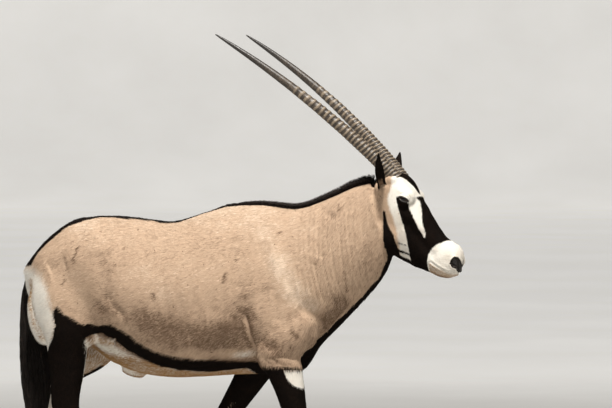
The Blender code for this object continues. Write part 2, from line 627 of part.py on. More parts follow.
def main():
    clear_scene()
    parts = collection("gemsbok")
    tools = collection("cutters", hidden=True)
    tan = material("fawn_coat", (0.46, 0.30, 0.20), 0.85)
    dark = material("dark_coat", (0.02, 0.015, 0.013), 0.8)
    white = material("pale_coat", (0.80, 0.77, 0.70), 0.85)
    keratin = material("horn", (0.09, 0.07, 0.055), 0.45)
    glossy = material("eye", (0.015, 0.010, 0.008), 0.08)

    body = whole_body(tools)
    nodes = {}

    # head and neck come off at two planes; the trunk is what is left
    head_at, head_no = Vector((0.528, 0, 1.25)), Vector((0.965, 0, 0.26)).normalized()
    neck_at, neck_no = Vector((0.275, 0, 0.93)), Vector((0.94, 0, 0.34)).normalized()
    neck = half(copy_of(body, "neck", parts), neck_at + neck_no * GAP / 2, -neck_no)
    nodes["head"] = half(copy_of(neck, "head", parts), head_at + head_no * GAP / 2, -head_no)
    nodes["neck"] = half(neck, head_at - head_no * GAP / 2, head_no)
    trunk = half(copy_of(body, "trunk", parts), neck_at - neck_no * GAP / 2, neck_no)
    nodes["trunk"] = trunk

    legs = {"right_fore": RIGHT_FORE, "left_fore": LEFT_FORE, "right_hind": RIGHT_HIND, "left_hind": LEFT_HIND}
    for leg, rows in legs.items():
        block = leg_block(rows, leg + "_block", tools)
        wider = swollen(leg_block(rows, leg + "_block_wider", tools), 1.6 * GAP)
        one = cut(copy_of(trunk, "leg_" + leg, parts), block, "INTERSECT")
        nodes["leg_" + leg] = one
        cut(trunk, wider, "DIFFERENCE")
        frame = hoof_frame(leg)
        top = frame @ Vector((0, 0, CORONET + GAP))
        half(one, top, frame.to_3x3() @ Vector((0, 0, -1)))
        for inner in (False, True):
            name = "hoof_%s_%s" % (leg, "inner" if inner else "outer")
            nodes[name] = claw(leg, inner, name, parts)

    for side, word in ((-1, "right"), (1, "left")):
        nodes["horn_" + word] = horn(side, "horn_" + word, parts)
        nodes["eye_" + word] = eye(side, "eye_" + word, parts)
        nodes["ear_" + word] = ear(side, "ear_" + word, parts)
        for maker in (horn, eye, ear):
            tool = swollen(maker(side, maker.__name__ + "_socket_" + word, tools), 2 * GAP)
            cut(nodes["head"], tool, "DIFFERENCE")
    nodes["tail"] = tail("tail", parts)
    cut(trunk, swollen(tail("tail_socket", tools), 2 * GAP), "DIFFERENCE")

    for name, o in nodes.items():
        if name in ("head", "neck", "trunk") or name.startswith("leg"):
            largest(o)
        o.data.materials.clear()
        o.data.materials.append(keratin if name.startswith(("horn", "hoof")) else glossy if name.startswith("eye")
                                else dark if name == "tail" else white if name == "head" else tan)
    for o in parts.objects:
        o.data.transform(Matrix.Translation((-MIDDLE_X, 0, 0)))
    for o in tools.objects:
        o.hide_render, o.display_type = True, "WIRE"


main()
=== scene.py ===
"""Looks of a life-size gemsbok bull: one skin over the flesh, a coat of mesh tufts, horns, hooves, eyes,
procedural markings, a soft studio and the photograph's camera. Metres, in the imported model's frame."""
import json
import math

import bmesh
import bpy
import numpy as np
from mathutils import Matrix, Vector
from mathutils.bvhtree import BVHTree

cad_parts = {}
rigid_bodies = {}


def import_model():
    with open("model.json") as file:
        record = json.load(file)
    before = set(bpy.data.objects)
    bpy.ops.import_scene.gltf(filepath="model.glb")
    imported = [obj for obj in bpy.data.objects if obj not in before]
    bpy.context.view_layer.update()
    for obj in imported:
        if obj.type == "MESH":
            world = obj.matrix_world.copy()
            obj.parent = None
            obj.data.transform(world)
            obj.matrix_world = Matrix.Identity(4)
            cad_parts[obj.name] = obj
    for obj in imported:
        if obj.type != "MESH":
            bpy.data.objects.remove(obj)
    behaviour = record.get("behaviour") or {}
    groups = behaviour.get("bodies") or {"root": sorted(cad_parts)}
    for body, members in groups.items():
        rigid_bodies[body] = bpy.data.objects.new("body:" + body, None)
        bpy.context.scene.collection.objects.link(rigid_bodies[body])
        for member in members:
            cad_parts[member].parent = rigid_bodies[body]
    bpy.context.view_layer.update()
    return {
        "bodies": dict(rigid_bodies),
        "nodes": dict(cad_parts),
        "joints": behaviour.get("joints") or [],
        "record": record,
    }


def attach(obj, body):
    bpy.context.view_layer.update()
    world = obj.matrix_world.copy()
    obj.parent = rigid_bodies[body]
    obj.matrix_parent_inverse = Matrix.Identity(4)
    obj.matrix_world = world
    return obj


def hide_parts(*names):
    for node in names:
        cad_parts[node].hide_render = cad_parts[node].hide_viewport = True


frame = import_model()

# ---------------------------------------------------------------- the animal's form, as in the frame (metres)
GAP = 0.0005            # between neighbouring solids
VOXEL = 0.0085          # fineness of the body before it is thinned out
BODY_TRIANGLES = 4400
MANE = 0.022            # height of the standing mane along the neck
EYE_R = 0.0195
EYE = (0.6640, 0.0590, 1.2020)
HORN_BASE = (0.600, 0.034, 1.296)
HORN_TIP = (-0.030, 0.136, 1.785)
HORN_BOW = 0.027        # how far the horn bows up from its chord
HORN_SPREAD = 0.018     # how far it bows outwards
HORN_R = 0.0240
HEAD_TURN = 5.0         # degrees the head is turned to the animal's right
TURN_FROM, TURN_TO = 0.36, 0.60
HORN_RINGS = 13
CORONET = 0.060         # height of the hoof
HOOF_LONG, HOOF_WIDE = 0.118, 0.047
EAR_WIDE, EAR_THICK = 0.050, 0.0055
MIDDLE_X = 0.028        # the sizes below count from a point this far behind the animal's middle


# ---------------------------------------------------------------- curves and lofts
def smooth_rows(rows, per_span):
    """Rows of numbers joined by a smooth curve through each of them."""
    p = np.array(rows, float)
    step = np.linalg.norm(np.diff(p[:, :4], axis=0), axis=1) + 1e-6
    t = np.concatenate([[0], np.cumsum(np.sqrt(step))])
    m = np.gradient(p, t, axis=0)
    out = []
    for i in range(len(p) - 1):
        h = t[i + 1] - t[i]
        for k in range(per_span):
            s = k / per_span
            a, b = 2 * s**3 - 3 * s**2 + 1, s**3 - 2 * s**2 + s
            c, d = -2 * s**3 + 3 * s**2, s**3 - s**2
            out.append(a * p[i] + b * h * m[i] + c * p[i + 1] + d * h * m[i + 1])
    out.append(p[-1])
    return np.array(out)


def skin_rings(bm, rings):
    """Joins closed rings of points into a tube with both ends closed."""
    made = [[bm.verts.new(p) for p in ring] for ring in rings]
    n = len(made[0])
    for a, b in zip(made, made[1:]):
        for i in range(n):
            bm.faces.new((a[i], a[(i + 1) % n], b[(i + 1) % n], b[i]))
    bm.faces.new(list(reversed(made[0])))
    bm.faces.new(made[-1])


def power(v, n):
    return math.copysign(abs(v) ** (2.0 / n), v)


def midline_loft(bm, rows, per_span=4, sides=28):
    """A symmetric body. Each row is the top point and the bottom point of a section (x, z, x, z), its
    half width, where it is widest (a share of its height) and how square its top and bottom are."""
    rings = []
    for xt, zt, xb, zb, w, f, nt, nb in smooth_rows(rows, per_span):
        top, bottom = Vector((xt, 0, zt)), Vector((xb, 0, zb))
        wide = bottom.lerp(top, f)
        ring = []
        for i in range(sides):
            a = 2 * math.pi * i / sides
            n = nt if math.cos(a) > 0 else nb
            c = power(math.cos(a), n)
            p = wide + (top - wide) * c if c > 0 else wide + (wide - bottom) * c
            ring.append(p + Vector((0, w * power(math.sin(a), n), 0)))
        rings.append(ring)
    skin_rings(bm, rings)


def limb_loft(bm, rows, per_span=4, sides=20, flip=1):
    """A limb. Each row is a centre (x, y, z) and the reach to the front, to the back and sideways."""
    p = smooth_rows(rows, per_span)
    p[:, 1] *= flip
    axis = np.gradient(p[:, :3], axis=0)
    rings = []
    for row, along in zip(p, axis):
        x, y, z, front, back, side = row
        along = Vector(along).normalized()
        out = (Vector((0, 1, 0)) - along * along.y).normalized()
        ahead = out.cross(along).normalized()
        if ahead.x < 0:
            ahead.negate()
        ring = []
        for i in range(sides):
            a = 2 * math.pi * i / sides
            c, s = math.cos(a), math.sin(a)
            ring.append(Vector((x, y, z)) + ahead * (c * (front if c > 0 else back)) + out * (s * side))
        rings.append(ring)
    skin_rings(bm, rings)


def blob(bm, centre, radii, lean=0.0, both=True, cant=0.0):
    """An ellipsoid muscle or bone, canted about X and leant about Y, in degrees; on both sides if both."""
    for side in (1, -1) if both else (1,):
        turn = Matrix.Rotation(math.radians(cant * side), 4, "X") @ Matrix.Rotation(math.radians(lean), 4, "Y")
        place = Matrix.Translation((centre[0], centre[1] * side, centre[2]))
        bmesh.ops.create_uvsphere(bm, u_segments=24, v_segments=14, radius=1.0,
                                  matrix=place @ turn @ Matrix.Diagonal((*radii, 1)))


# ---------------------------------------------------------------- the animal's form
# trunk and neck: top x, z; bottom x, z; half width; widest at; squareness of top and bottom
TRUNK = [
    (-0.800, 0.944, -0.785, 0.900, 0.022, 0.5, 2.0, 2.0),
    (-0.776, 0.978, -0.765, 0.815, 0.070, 0.55, 2.0, 2.0),
    (-0.729, 1.030, -0.728, 0.745, 0.112, 0.60, 2.0, 2.0),
    (-0.672, 1.078, -0.675, 0.700, 0.146, 0.64, 2.0, 2.0),
    (-0.597, 1.123, -0.600, 0.665, 0.168, 0.66, 2.0, 2.0),
    (-0.521, 1.134, -0.520, 0.645, 0.182, 0.64, 2.0, 2.0),
    (-0.446, 1.134, -0.449, 0.606, 0.196, 0.56, 2.0, 2.1),
    (-0.332, 1.125, -0.340, 0.568, 0.212, 0.50, 2.0, 2.1),
    (-0.219, 1.120, -0.230, 0.556, 0.222, 0.47, 1.95, 2.1),
    (-0.106, 1.150, -0.120, 0.560, 0.218, 0.46, 1.85, 2.1),
    (-0.010, 1.183, -0.010, 0.568, 0.204, 0.45, 1.75, 2.0),
    (0.083, 1.190, 0.080, 0.573, 0.180, 0.44, 1.70, 2.0),
    (0.159, 1.183, 0.180, 0.574, 0.165, 0.44, 1.75, 1.95),
    (0.222, 1.174, 0.262, 0.592, 0.150, 0.45, 1.85, 1.9),
    (0.275, 1.178, 0.322, 0.672, 0.134, 0.46, 1.95, 1.9),
    (0.329, 1.196, 0.385, 0.737, 0.118, 0.47, 2.0, 1.9),
    (0.385, 1.218, 0.462, 0.816, 0.103, 0.48, 2.0, 1.9),
    (0.435, 1.240, 0.528, 0.884, 0.090, 0.50, 2.0, 1.9),
    (0.480, 1.256, 0.572, 0.945, 0.078, 0.52, 2.0, 1.9),
    (0.520, 1.266, 0.596, 1.000, 0.068, 0.55, 2.0, 1.9),
]
HEAD = [
    (0.590, 1.292, 0.480, 1.200, 0.040, 0.55, 2.2, 2.0),
    (0.612, 1.298, 0.494, 1.172, 0.056, 0.58, 2.4, 2.0),
    (0.645, 1.288, 0.508, 1.135, 0.066, 0.62, 2.5, 1.9),
    (0.677, 1.253, 0.529, 1.079, 0.071, 0.64, 2.5, 1.8),
    (0.706, 1.203, 0.559, 1.025, 0.066, 0.60, 2.3, 1.8),
    (0.733, 1.160, 0.600, 0.998, 0.057, 0.54, 2.2, 1.8),
    (0.759, 1.121, 0.642, 0.977, 0.049, 0.52, 2.2, 1.9),
    (0.784, 1.085, 0.680, 0.960, 0.043, 0.50, 2.3, 2.0),
    (0.804, 1.064, 0.714, 0.949, 0.041, 0.50, 2.4, 2.1),
    (0.826, 1.053, 0.749, 0.936, 0.043, 0.52, 2.5, 2.2),
    (0.845, 1.039, 0.784, 0.925, 0.042, 0.52, 2.5, 2.2),
    (0.857, 1.018, 0.815, 0.926, 0.036, 0.52, 2.4, 2.2),
    (0.862, 0.994, 0.840, 0.938, 0.026, 0.52, 2.2, 2.2),
    (0.860, 0.976, 0.852, 0.958, 0.010, 0.50, 2.0, 2.0),
]
# limbs: centre x, y, z; reach to the front, to the back and sideways. The right legs are at -Y.
FORE_LOW = [  # from the knee down, measured from the knee's centre, for a straight leg
    (0.000, 0.000, 0.000, 0.042, 0.038, 0.038),
    (0.004, 0.000, -0.034, 0.036, 0.034, 0.034),
    (0.011, 0.000, -0.085, 0.024, 0.028, 0.0255),
    (0.026, 0.000, -0.175, 0.0235, 0.028, 0.0245),
    (0.036, 0.000, -0.232, 0.028, 0.034, 0.030),
]
RIGHT_FORE = [
    (0.290, -0.105, 0.800, 0.055, 0.065, 0.050),
    (0.250, -0.122, 0.735, 0.085, 0.090, 0.060),
    (0.208, -0.128, 0.665, 0.088, 0.085, 0.060),
    (0.229, -0.128, 0.600, 0.070, 0.066, 0.052),
    (0.251, -0.126, 0.530, 0.056, 0.056, 0.046),
    (0.267, -0.124, 0.460, 0.047, 0.047, 0.041),
    (0.278, -0.123, 0.415, 0.043, 0.040, 0.038),
    (0.286, -0.122, 0.385, 0.044, 0.038, 0.038),
    (0.293, -0.122, 0.350, 0.037, 0.035, 0.034),
    (0.306, -0.121, 0.290, 0.0245, 0.028, 0.0255),
    (0.326, -0.120, 0.200, 0.0235, 0.029, 0.0245),
    (0.337, -0.120, 0.150, 0.027, 0.035, 0.030),
    (0.346, -0.120, 0.118, 0.031, 0.034, 0.033),
    (0.361, -0.120, 0.085, 0.028, 0.029, 0.033),
    (0.372, -0.120, 0.055, 0.035, 0.034, 0.042),
]
LEFT_FORE = [
    (0.225, 0.105, 0.800, 0.055, 0.065, 0.050),
    (0.155, 0.122, 0.730, 0.085, 0.090, 0.060),
    (0.088, 0.128, 0.662, 0.088, 0.085, 0.060),
    (0.046, 0.128, 0.600, 0.068, 0.066, 0.052),
    (0.003, 0.126, 0.530, 0.056, 0.056, 0.046),
    (-0.043, 0.124, 0.460, 0.047, 0.047, 0.041),
    (-0.072, 0.123, 0.420, 0.043, 0.040, 0.038),
    (-0.089, 0.122, 0.390, 0.044, 0.038, 0.038),
    (-0.103, 0.122, 0.355, 0.037, 0.035, 0.034),
    (-0.124, 0.121, 0.300, 0.0245, 0.028, 0.0255),
    (-0.153, 0.120, 0.210, 0.0235, 0.029, 0.0245),
    (-0.168, 0.120, 0.155, 0.027, 0.035, 0.030),
    (-0.172, 0.120, 0.122, 0.031, 0.034, 0.033),
    (-0.162, 0.120, 0.087, 0.028, 0.029, 0.033),
    (-0.152, 0.120, 0.055, 0.035, 0.034, 0.042),
]
RIGHT_HIND = [
    (-0.600, -0.085, 0.980, 0.080, 0.080, 0.050),
    (-0.608, -0.110, 0.880, 0.120, 0.118, 0.066),
    (-0.592, -0.122, 0.780, 0.112, 0.106, 0.070),
    (-0.578, -0.128, 0.705, 0.078, 0.094, 0.064),
    (-0.574, -0.128, 0.640, 0.060, 0.088, 0.056),
    (-0.576, -0.126, 0.570, 0.050, 0.080, 0.047),
    (-0.582, -0.124, 0.505, 0.042, 0.072, 0.040),
    (-0.584, -0.123, 0.460, 0.040, 0.068, 0.036),
    (-0.582, -0.122, 0.425, 0.040, 0.058, 0.037),
    (-0.575, -0.122, 0.385, 0.035, 0.044, 0.034),
    (-0.564, -0.121, 0.335, 0.027, 0.031, 0.028),
    (-0.546, -0.120, 0.240, 0.025, 0.030, 0.026),
    (-0.533, -0.120, 0.165, 0.027, 0.036, 0.031),
    (-0.524, -0.120, 0.127, 0.031, 0.036, 0.034),
    (-0.508, -0.120, 0.090, 0.028, 0.029, 0.033),
    (-0.494, -0.120, 0.050, 0.035, 0.034, 0.042),
]
LEFT_HIND = [
    (-0.600, 0.085, 0.980, 0.080, 0.080, 0.050),
    (-0.612, 0.110, 0.880, 0.120, 0.122, 0.066),
    (-0.585, 0.122, 0.790, 0.120, 0.115, 0.070),
    (-0.560, 0.128, 0.715, 0.105, 0.104, 0.064),
    (-0.585, 0.128, 0.645, 0.078, 0.088, 0.056),
    (-0.642, 0.126, 0.592, 0.058, 0.068, 0.047),
    (-0.703, 0.124, 0.548, 0.042, 0.055, 0.040),
    (-0.745, 0.123, 0.514, 0.038, 0.052, 0.036),
    (-0.764, 0.122, 0.482, 0.040, 0.046, 0.037),
    (-0.762, 0.122, 0.440, 0.035, 0.039, 0.034),
    (-0.752, 0.121, 0.390, 0.027, 0.031, 0.028),
    (-0.733, 0.120, 0.295, 0.025, 0.030, 0.026),
    (-0.721, 0.120, 0.225, 0.027, 0.036, 0.031),
    (-0.716, 0.120, 0.188, 0.031, 0.036, 0.034),
    (-0.716, 0.120, 0.146, 0.028, 0.029, 0.033),
    (-0.716, 0.120, 0.098, 0.035, 0.034, 0.042),
]
TAIL = [
    (-0.735, 0.0, 0.982, 0.028, 0.028, 0.028),
    (-0.762, 0.0, 0.945, 0.024, 0.024, 0.027),
    (-0.780, 0.0, 0.900, 0.020, 0.020, 0.024),
    (-0.789, 0.0, 0.850, 0.022, 0.022, 0.024),
    (-0.784, 0.0, 0.770, 0.035, 0.035, 0.034),
    (-0.775, 0.0, 0.690, 0.050, 0.048, 0.044),
    (-0.769, 0.0, 0.600, 0.053, 0.052, 0.048),
    (-0.764, 0.0, 0.510, 0.047, 0.049, 0.044),
    (-0.763, 0.0, 0.430, 0.034, 0.036, 0.034),
    (-0.765, 0.0, 0.370, 0.020, 0.021, 0.020),
    (-0.767, 0.0, 0.335, 0.006, 0.006, 0.006),
]
# hooves: where the toes' middle stands, how much the heel is raised in degrees
HOOVES = {
    "right_fore": (0.384, -0.120, 0.0),
    "left_fore": (-0.140, 0.120, 0.0),
    "right_hind": (-0.482, -0.120, 0.0),
    "left_hind": (-0.756, 0.120, 62.0),
}


def turned(p, rigid=False):
    """The bend of the neck: the head and all it carries is turned to the right."""
    full = math.radians(HEAD_TURN)
    span = TURN_TO - TURN_FROM
    x = TURN_TO if rigid else min(max(p.x, TURN_FROM), TURN_TO)
    s = (x - TURN_FROM) / span
    angle = full * s
    ahead = x - TURN_FROM
    cx = TURN_FROM + ahead
    cy = -full * span * s * s / 2
    beyond = p.x - x
    return Vector((cx + beyond * math.cos(angle) + p.y * math.sin(angle),
                   cy - beyond * math.sin(angle) + p.y * math.cos(angle), p.z))


def muscles(bm):
    """Bones and muscles that show under the skin."""
    blob(bm, (0.178, 0.108, 0.930), (0.085, 0.045, 0.240), lean=-20, cant=14)   # shoulder blade
    blob(bm, (0.160, 0.118, 0.775), (0.130, 0.062, 0.120), lean=20)    # triceps
    blob(bm, (0.272, -0.090, 0.745), (0.066, 0.062, 0.085), lean=-30, both=False)   # point of the shoulder, leg forward
    blob(bm, (0.226, 0.084, 0.745), (0.060, 0.058, 0.085), lean=-30, both=False)    # and leg back
    blob(bm, (-0.500, 0.120, 1.005), (0.085, 0.055, 0.055), lean=20, cant=20)   # point of the hip
    blob(bm, (-0.625, 0.088, 0.940), (0.108, 0.070, 0.105), lean=30)   # rump
    blob(bm, (-0.648, 0.098, 0.830), (0.100, 0.066, 0.165), lean=10)   # back of the thigh
    blob(bm, (-0.545, 0.122, 0.810), (0.095, 0.055, 0.150), lean=-14)  # front of the thigh
    blob(bm, (-0.170, 0.118, 0.795), (0.300, 0.102, 0.200), lean=2)    # ribs
    blob(bm, (0.610, 0.034, 1.104), (0.066, 0.028, 0.085), lean=38, cant=8)     # cheek
    blob(bm, (0.662, 0.045, 1.208), (0.040, 0.026, 0.034), lean=30)    # orbit
    blob(bm, (0.832, 0.022, 1.000), (0.022, 0.022, 0.030), lean=30)    # wing of the nostril
    blob(bm, (0.610, 0.034, 1.268), (0.034, 0.032, 0.026), lean=0)     # foot of the horn
    blob(bm, (0.572, 0.050, 1.240), (0.026, 0.024, 0.030), lean=20)    # root of the ear
    blob(bm, (-0.380, 0.0, 0.578), (0.052, 0.022, 0.024), lean=14, both=False)  # sheath
    blob(bm, (-0.590, 0.018, 0.655), (0.034, 0.030, 0.052), lean=0)    # scrotum


def heels(bm):
    """Points of the hocks and the dew claws."""
    for rows, up in ((RIGHT_HIND, 6), (LEFT_HIND, 6)):
        a, b = np.array(rows[up + 2][:3]), np.array(rows[up][:3])
        along = (b - a) / np.linalg.norm(b - a)
        back = np.array([-along[2], 0, along[0]])
        back = back if back[0] < 0 else -back
        p = a + 0.045 * back + 0.028 * along
        blob(bm, p, (0.017, 0.018, 0.036), both=False,
             lean=math.degrees(math.atan2(along[0], along[2])))
    for rows in (RIGHT_FORE, LEFT_FORE, RIGHT_HIND, LEFT_HIND):
        fetlock, pastern = np.array(rows[-3][:3]), np.array(rows[-2][:3])
        along = (fetlock - pastern) / np.linalg.norm(fetlock - pastern)
        back = np.array([-along[2], 0, along[0]])
        back = back if back[0] < 0 else -back
        for side in (-1, 1):
            p = fetlock + back * 0.034 + np.array([0, side * 0.017, 0]) - along * 0.012
            blob(bm, p, (0.012, 0.010, 0.015), both=False)


def mane(bm):
    """The standing mane, a low ridge from the nape to the withers."""
    crest = [(t[0], t[1]) for t in TRUNK if t[0] > -0.02]
    rows = []
    for i, (x, z) in enumerate(crest):
        share = math.sin(math.pi * min(1.0, (i + 0.35) / (len(crest) - 0.5))) ** 0.5
        high = MANE * (0.45 + 0.75 * i / (len(crest) - 1)) * share
        rows.append((x - 0.3 * high, 0.0, z - 0.004, high + 0.004, high + 0.004, 0.021))
    limb_loft(bm, rows, sides=16)


def object_of(name, bm, into, smooth=True):
    bmesh.ops.recalc_face_normals(bm, faces=bm.faces)
    if bm.calc_volume(signed=True) < 0:
        bmesh.ops.reverse_faces(bm, faces=bm.faces)
    mesh = bpy.data.meshes.new(name)
    bm.to_mesh(mesh)
    bm.free()
    if smooth:
        mesh.shade_smooth()
    o = bpy.data.objects.new(name, mesh)
    into.objects.link(o)
    return o


def baked(o):
    """The object's mesh with its modifiers applied, as the object's own mesh."""
    graph = bpy.context.evaluated_depsgraph_get()
    mesh = bpy.data.meshes.new_from_object(o.evaluated_get(graph))
    o.modifiers.clear()
    old, o.data = o.data, mesh
    bpy.data.meshes.remove(old)
    return o


def relaxed(o, rounds, share=None, keep=0.53):
    """Smooths the mesh without shrinking it: each round pulls in, then pushes out again. The share says
    how much of it each point takes part in."""
    mesh = o.data
    n = len(mesh.vertices)
    co = np.empty(n * 3, np.float32)
    mesh.vertices.foreach_get("co", co)
    co = co.reshape(-1, 3).astype(float)
    edges = np.empty(len(mesh.edges) * 2, np.int32)
    mesh.edges.foreach_get("vertices", edges)
    a, b = edges.reshape(-1, 2).T
    degree = np.bincount(a, minlength=n) + np.bincount(b, minlength=n)
    for k in range(2 * rounds):
        mean = np.stack([np.bincount(a, co[b, i], n) + np.bincount(b, co[a, i], n) for i in range(3)], 1)
        mean /= np.maximum(degree, 1)[:, None]
        step = (mean - co) * (0.5 if k % 2 == 0 else -keep)
        co += step if share is None else step * share[:, None]
    mesh.vertices.foreach_set("co", co.astype(np.float32).ravel())
    mesh.update()
    return o


def half(o, point, normal):
    """Keeps the side of a plane that its normal points away from, and closes the cut."""
    bm = bmesh.new()
    bm.from_mesh(o.data)
    bmesh.ops.bisect_plane(bm, geom=bm.verts[:] + bm.edges[:] + bm.faces[:], dist=1e-7,
                           plane_co=point, plane_no=normal, clear_outer=True)
    bmesh.ops.holes_fill(bm, edges=[e for e in bm.edges if e.is_boundary], sides=0)
    bmesh.ops.recalc_face_normals(bm, faces=bm.faces)
    bm.to_mesh(o.data)
    bm.free()
    return o


# ---------------------------------------------------------------- horns, eyes, ears, hooves, tail
def horn_line(t, side):
    base, tip = Vector(HORN_BASE), Vector(HORN_TIP)
    p = base.lerp(tip, t) + Vector((0.61 * HORN_BOW, HORN_SPREAD, 0.79 * HORN_BOW)) * (4 * t * (1 - t))
    return turned(Vector((p.x, side * p.y, p.z)), rigid=True)


def horn_radius(t):
    return HORN_R * (1 - t) ** 0.6 + 0.0012


def horn(side, name, into, sides=10):
    """Rings on the lower 60 per cent, then a smooth taper to the tip."""
    rings = []
    steps = [i / (2 * HORN_RINGS) * 0.62 for i in range(2 * HORN_RINGS)] + [0.62 + 0.38 * k / 8 for k in range(9)]
    steps = [-0.035] + steps
    for k, t in enumerate(steps):
        at = horn_line(max(t, 0.0), side)
        along = (horn_line(max(t, 0) + 0.01, side) - horn_line(max(t, 0), side)).normalized()
        if t < 0:
            at = at + along * (t * 0.9)
        ridge = 0.045 * (1 - t / 0.62) + 0.03 if 0 <= t < 0.62 else 0.0
        r = horn_radius(max(t, 0.0)) * (1 + (ridge if k % 2 else -ridge))
        out = (Vector((0, 1, 0)) - along * along.y).normalized()
        up = out.cross(along)
        rings.append([at + (out * math.cos(a) * 0.94 + up * math.sin(a)) * r
                      for a in (2 * math.pi * i / sides for i in range(sides))])
    bm = bmesh.new()
    skin_rings(bm, rings)
    return object_of(name, bm, into)


def eye(side, name, into, sides=12):
    bm = bmesh.new()
    bmesh.ops.create_uvsphere(bm, u_segments=sides, v_segments=sides // 2 + 2, radius=EYE_R,
                              matrix=Matrix.Translation(turned(Vector((EYE[0], side * EYE[1], EYE[2]))))
                              @ Matrix.Rotation(math.radians(90), 4, "X"))
    return object_of(name, bm, into)


def ear_point(side, u, v, lift):
    """A point of the ear: u from root to tip, v across it from -1 to 1, lift off its inner face."""
    root = Vector((0.574, 0.062, 1.250))
    tip = Vector((0.606 if side < 0 else 0.560, 0.163, 1.367))
    up = (tip - root).normalized()
    face = Vector((0.76, 0.62, -0.10)) if side < 0 else Vector((0.28, 0.95, -0.10))
    face = (face - up * face.dot(up)).normalized()
    across = up.cross(face).normalized()
    wide = EAR_WIDE * 0.5 * (math.sin(math.pi * min(1.0, 0.16 + 0.84 * u) ** 0.9) ** 0.75 + 0.02) if u < 0.999 else 0.001
    wide = max(wide, 0.016 * (1 - u) ** 2)
    curl = 1.15 * (1 - 0.55 * u)
    a = v * curl
    p = root + up * (u * (tip - root).length * (1 - 0.05 * v * v)) + across * (wide * math.sin(a) / max(math.sin(curl), 0.3))
    p = p + face * (wide * (1 - math.cos(a)) * 1.1 - 0.010 * math.sin(math.pi * u) + lift)
    return turned(Vector((p.x, side * p.y, p.z)))


def ear(side, name, into, rows=9, cols=6):
    """A cupped leaf: an inner and an outer face joined round the rim."""
    rings = []
    for i in range(rows):
        u = i / (rows - 1)
        thick = EAR_THICK * (1 - 0.35 * u) + 0.010 * max(0.0, 0.22 - u) / 0.22
        inner = [ear_point(side, u, -1 + 2 * k / (cols - 1), thick / 2) for k in range(cols)]
        outer = [ear_point(side, u, 1 - 2 * k / (cols - 1), -thick / 2) for k in range(cols)]
        rings.append(inner + outer)
    bm = bmesh.new()
    skin_rings(bm, rings)
    return object_of(name, bm, into)


def hoof_frame(leg):
    """Carries the hoof from a flat stand to its place, turned about the tip of the toe."""
    x, y, raised = HOOVES[leg]
    toe = Vector((HOOF_LONG * 0.52, 0, 0.004))
    return (Matrix.Translation((x, y, 0)) @ Matrix.Translation(toe)
            @ Matrix.Rotation(math.radians(raised), 4, "Y") @ Matrix.Translation(-toe))


def claw(leg, inner, name, into, sides=14, levels=3):
    """One of a hoof's two claws: a slanted loft from the flat sole to the coronet."""
    frame = hoof_frame(leg)
    x, y, raised = HOOVES[leg]
    out = math.copysign(1, y) * (-1 if inner else 1)
    rings = []
    for k in range(levels):
        h = k / (levels - 1)
        front = HOOF_LONG * (0.56 - 0.42 * h)
        back = -HOOF_LONG * (0.44 - 0.03 * h + 0.03 * math.sin(math.pi * h))
        ring = []
        for i in range(sides):
            a = 2 * math.pi * i / sides
            c, s = math.cos(a), math.sin(a)
            px = (front + back) / 2 + (front - back) / 2 * c
            taper = 1.0 - 0.48 * max(0.0, c) ** 1.6 * (1 - 0.5 * h)
            py = HOOF_WIDE / 2 * s * taper * (1 - 0.10 * h)
            flat = s * out < 0
            if flat:
                py *= 0.88
            ring.append(Vector((px, py + out * (HOOF_WIDE * 0.5 + 0.0015 - 0.006 * max(0, c) ** 2), CORONET * h)))
        rings.append(ring)
    bm = bmesh.new()
    skin_rings(bm, rings)
    bm.transform(frame)
    o = object_of(name, bm, into, smooth=False)
    if raised:
        half(o, (0, 0, 0), (0, 0, -1))
    return o


def tail(name, into, sides=10):
    bm = bmesh.new()
    limb_loft(bm, TAIL, per_span=2, sides=sides)
    return object_of(name, bm, into)


# ---------------------------------------------------------------- looks: sizes
COAT = 0.0030            # depth of the short coat
SKIN_VOXEL = 0.0066
SHIFT = np.array([-MIDDLE_X, 0.0, 0.0])
rng = np.random.default_rng(20260)
LEGS = {"right_fore": RIGHT_FORE, "left_fore": LEFT_FORE, "right_hind": RIGHT_HIND, "left_hind": LEFT_HIND}


# ---------------------------------------------------------------- looks: small numeric helpers
def smooth(a, b, x):
    t = np.clip((x - a) / (b - a), 0, 1)
    return t * t * (3 - 2 * t)


def polygon(x, z, pts):
    """Signed distance to an outline in a plane, positive inside."""
    p = np.array(pts, float)
    q = np.roll(p, -1, axis=0)
    best = np.full(x.shape, 1e9)
    inside = np.zeros(x.shape, bool)
    for (ax, az), (bx, bz) in zip(p, q):
        ex, ez = bx - ax, bz - az
        wx, wz = x - ax, z - az
        t = np.clip((wx * ex + wz * ez) / (ex * ex + ez * ez + 1e-12), 0, 1)
        best = np.minimum(best, (wx - ex * t) ** 2 + (wz - ez * t) ** 2)
        if abs(ez) > 1e-12:
            hit = ((az > z) != (bz > z)) & (x < ax + (z - az) / ez * ex)
            inside ^= hit
    d = np.sqrt(best)
    return np.where(inside, d, -d)


def polyline(x, z, pts):
    """Distance to a broken line in a plane, and how far along it the nearest point is (0 to 1)."""
    p = np.array(pts, float)
    seg = np.linalg.norm(np.diff(p, axis=0), axis=1)
    start = np.concatenate([[0], np.cumsum(seg)])
    best, along = np.full(x.shape, 1e9), np.zeros(x.shape)
    for i in range(len(p) - 1):
        ex, ez = p[i + 1] - p[i]
        wx, wz = x - p[i, 0], z - p[i, 1]
        t = np.clip((wx * ex + wz * ez) / (ex * ex + ez * ez + 1e-12), 0, 1)
        d = (wx - ex * t) ** 2 + (wz - ez * t) ** 2
        near = d < best
        best = np.where(near, d, best)
        along = np.where(near, (start[i] + t * seg[i]) / start[-1], along)
    return np.sqrt(best), along


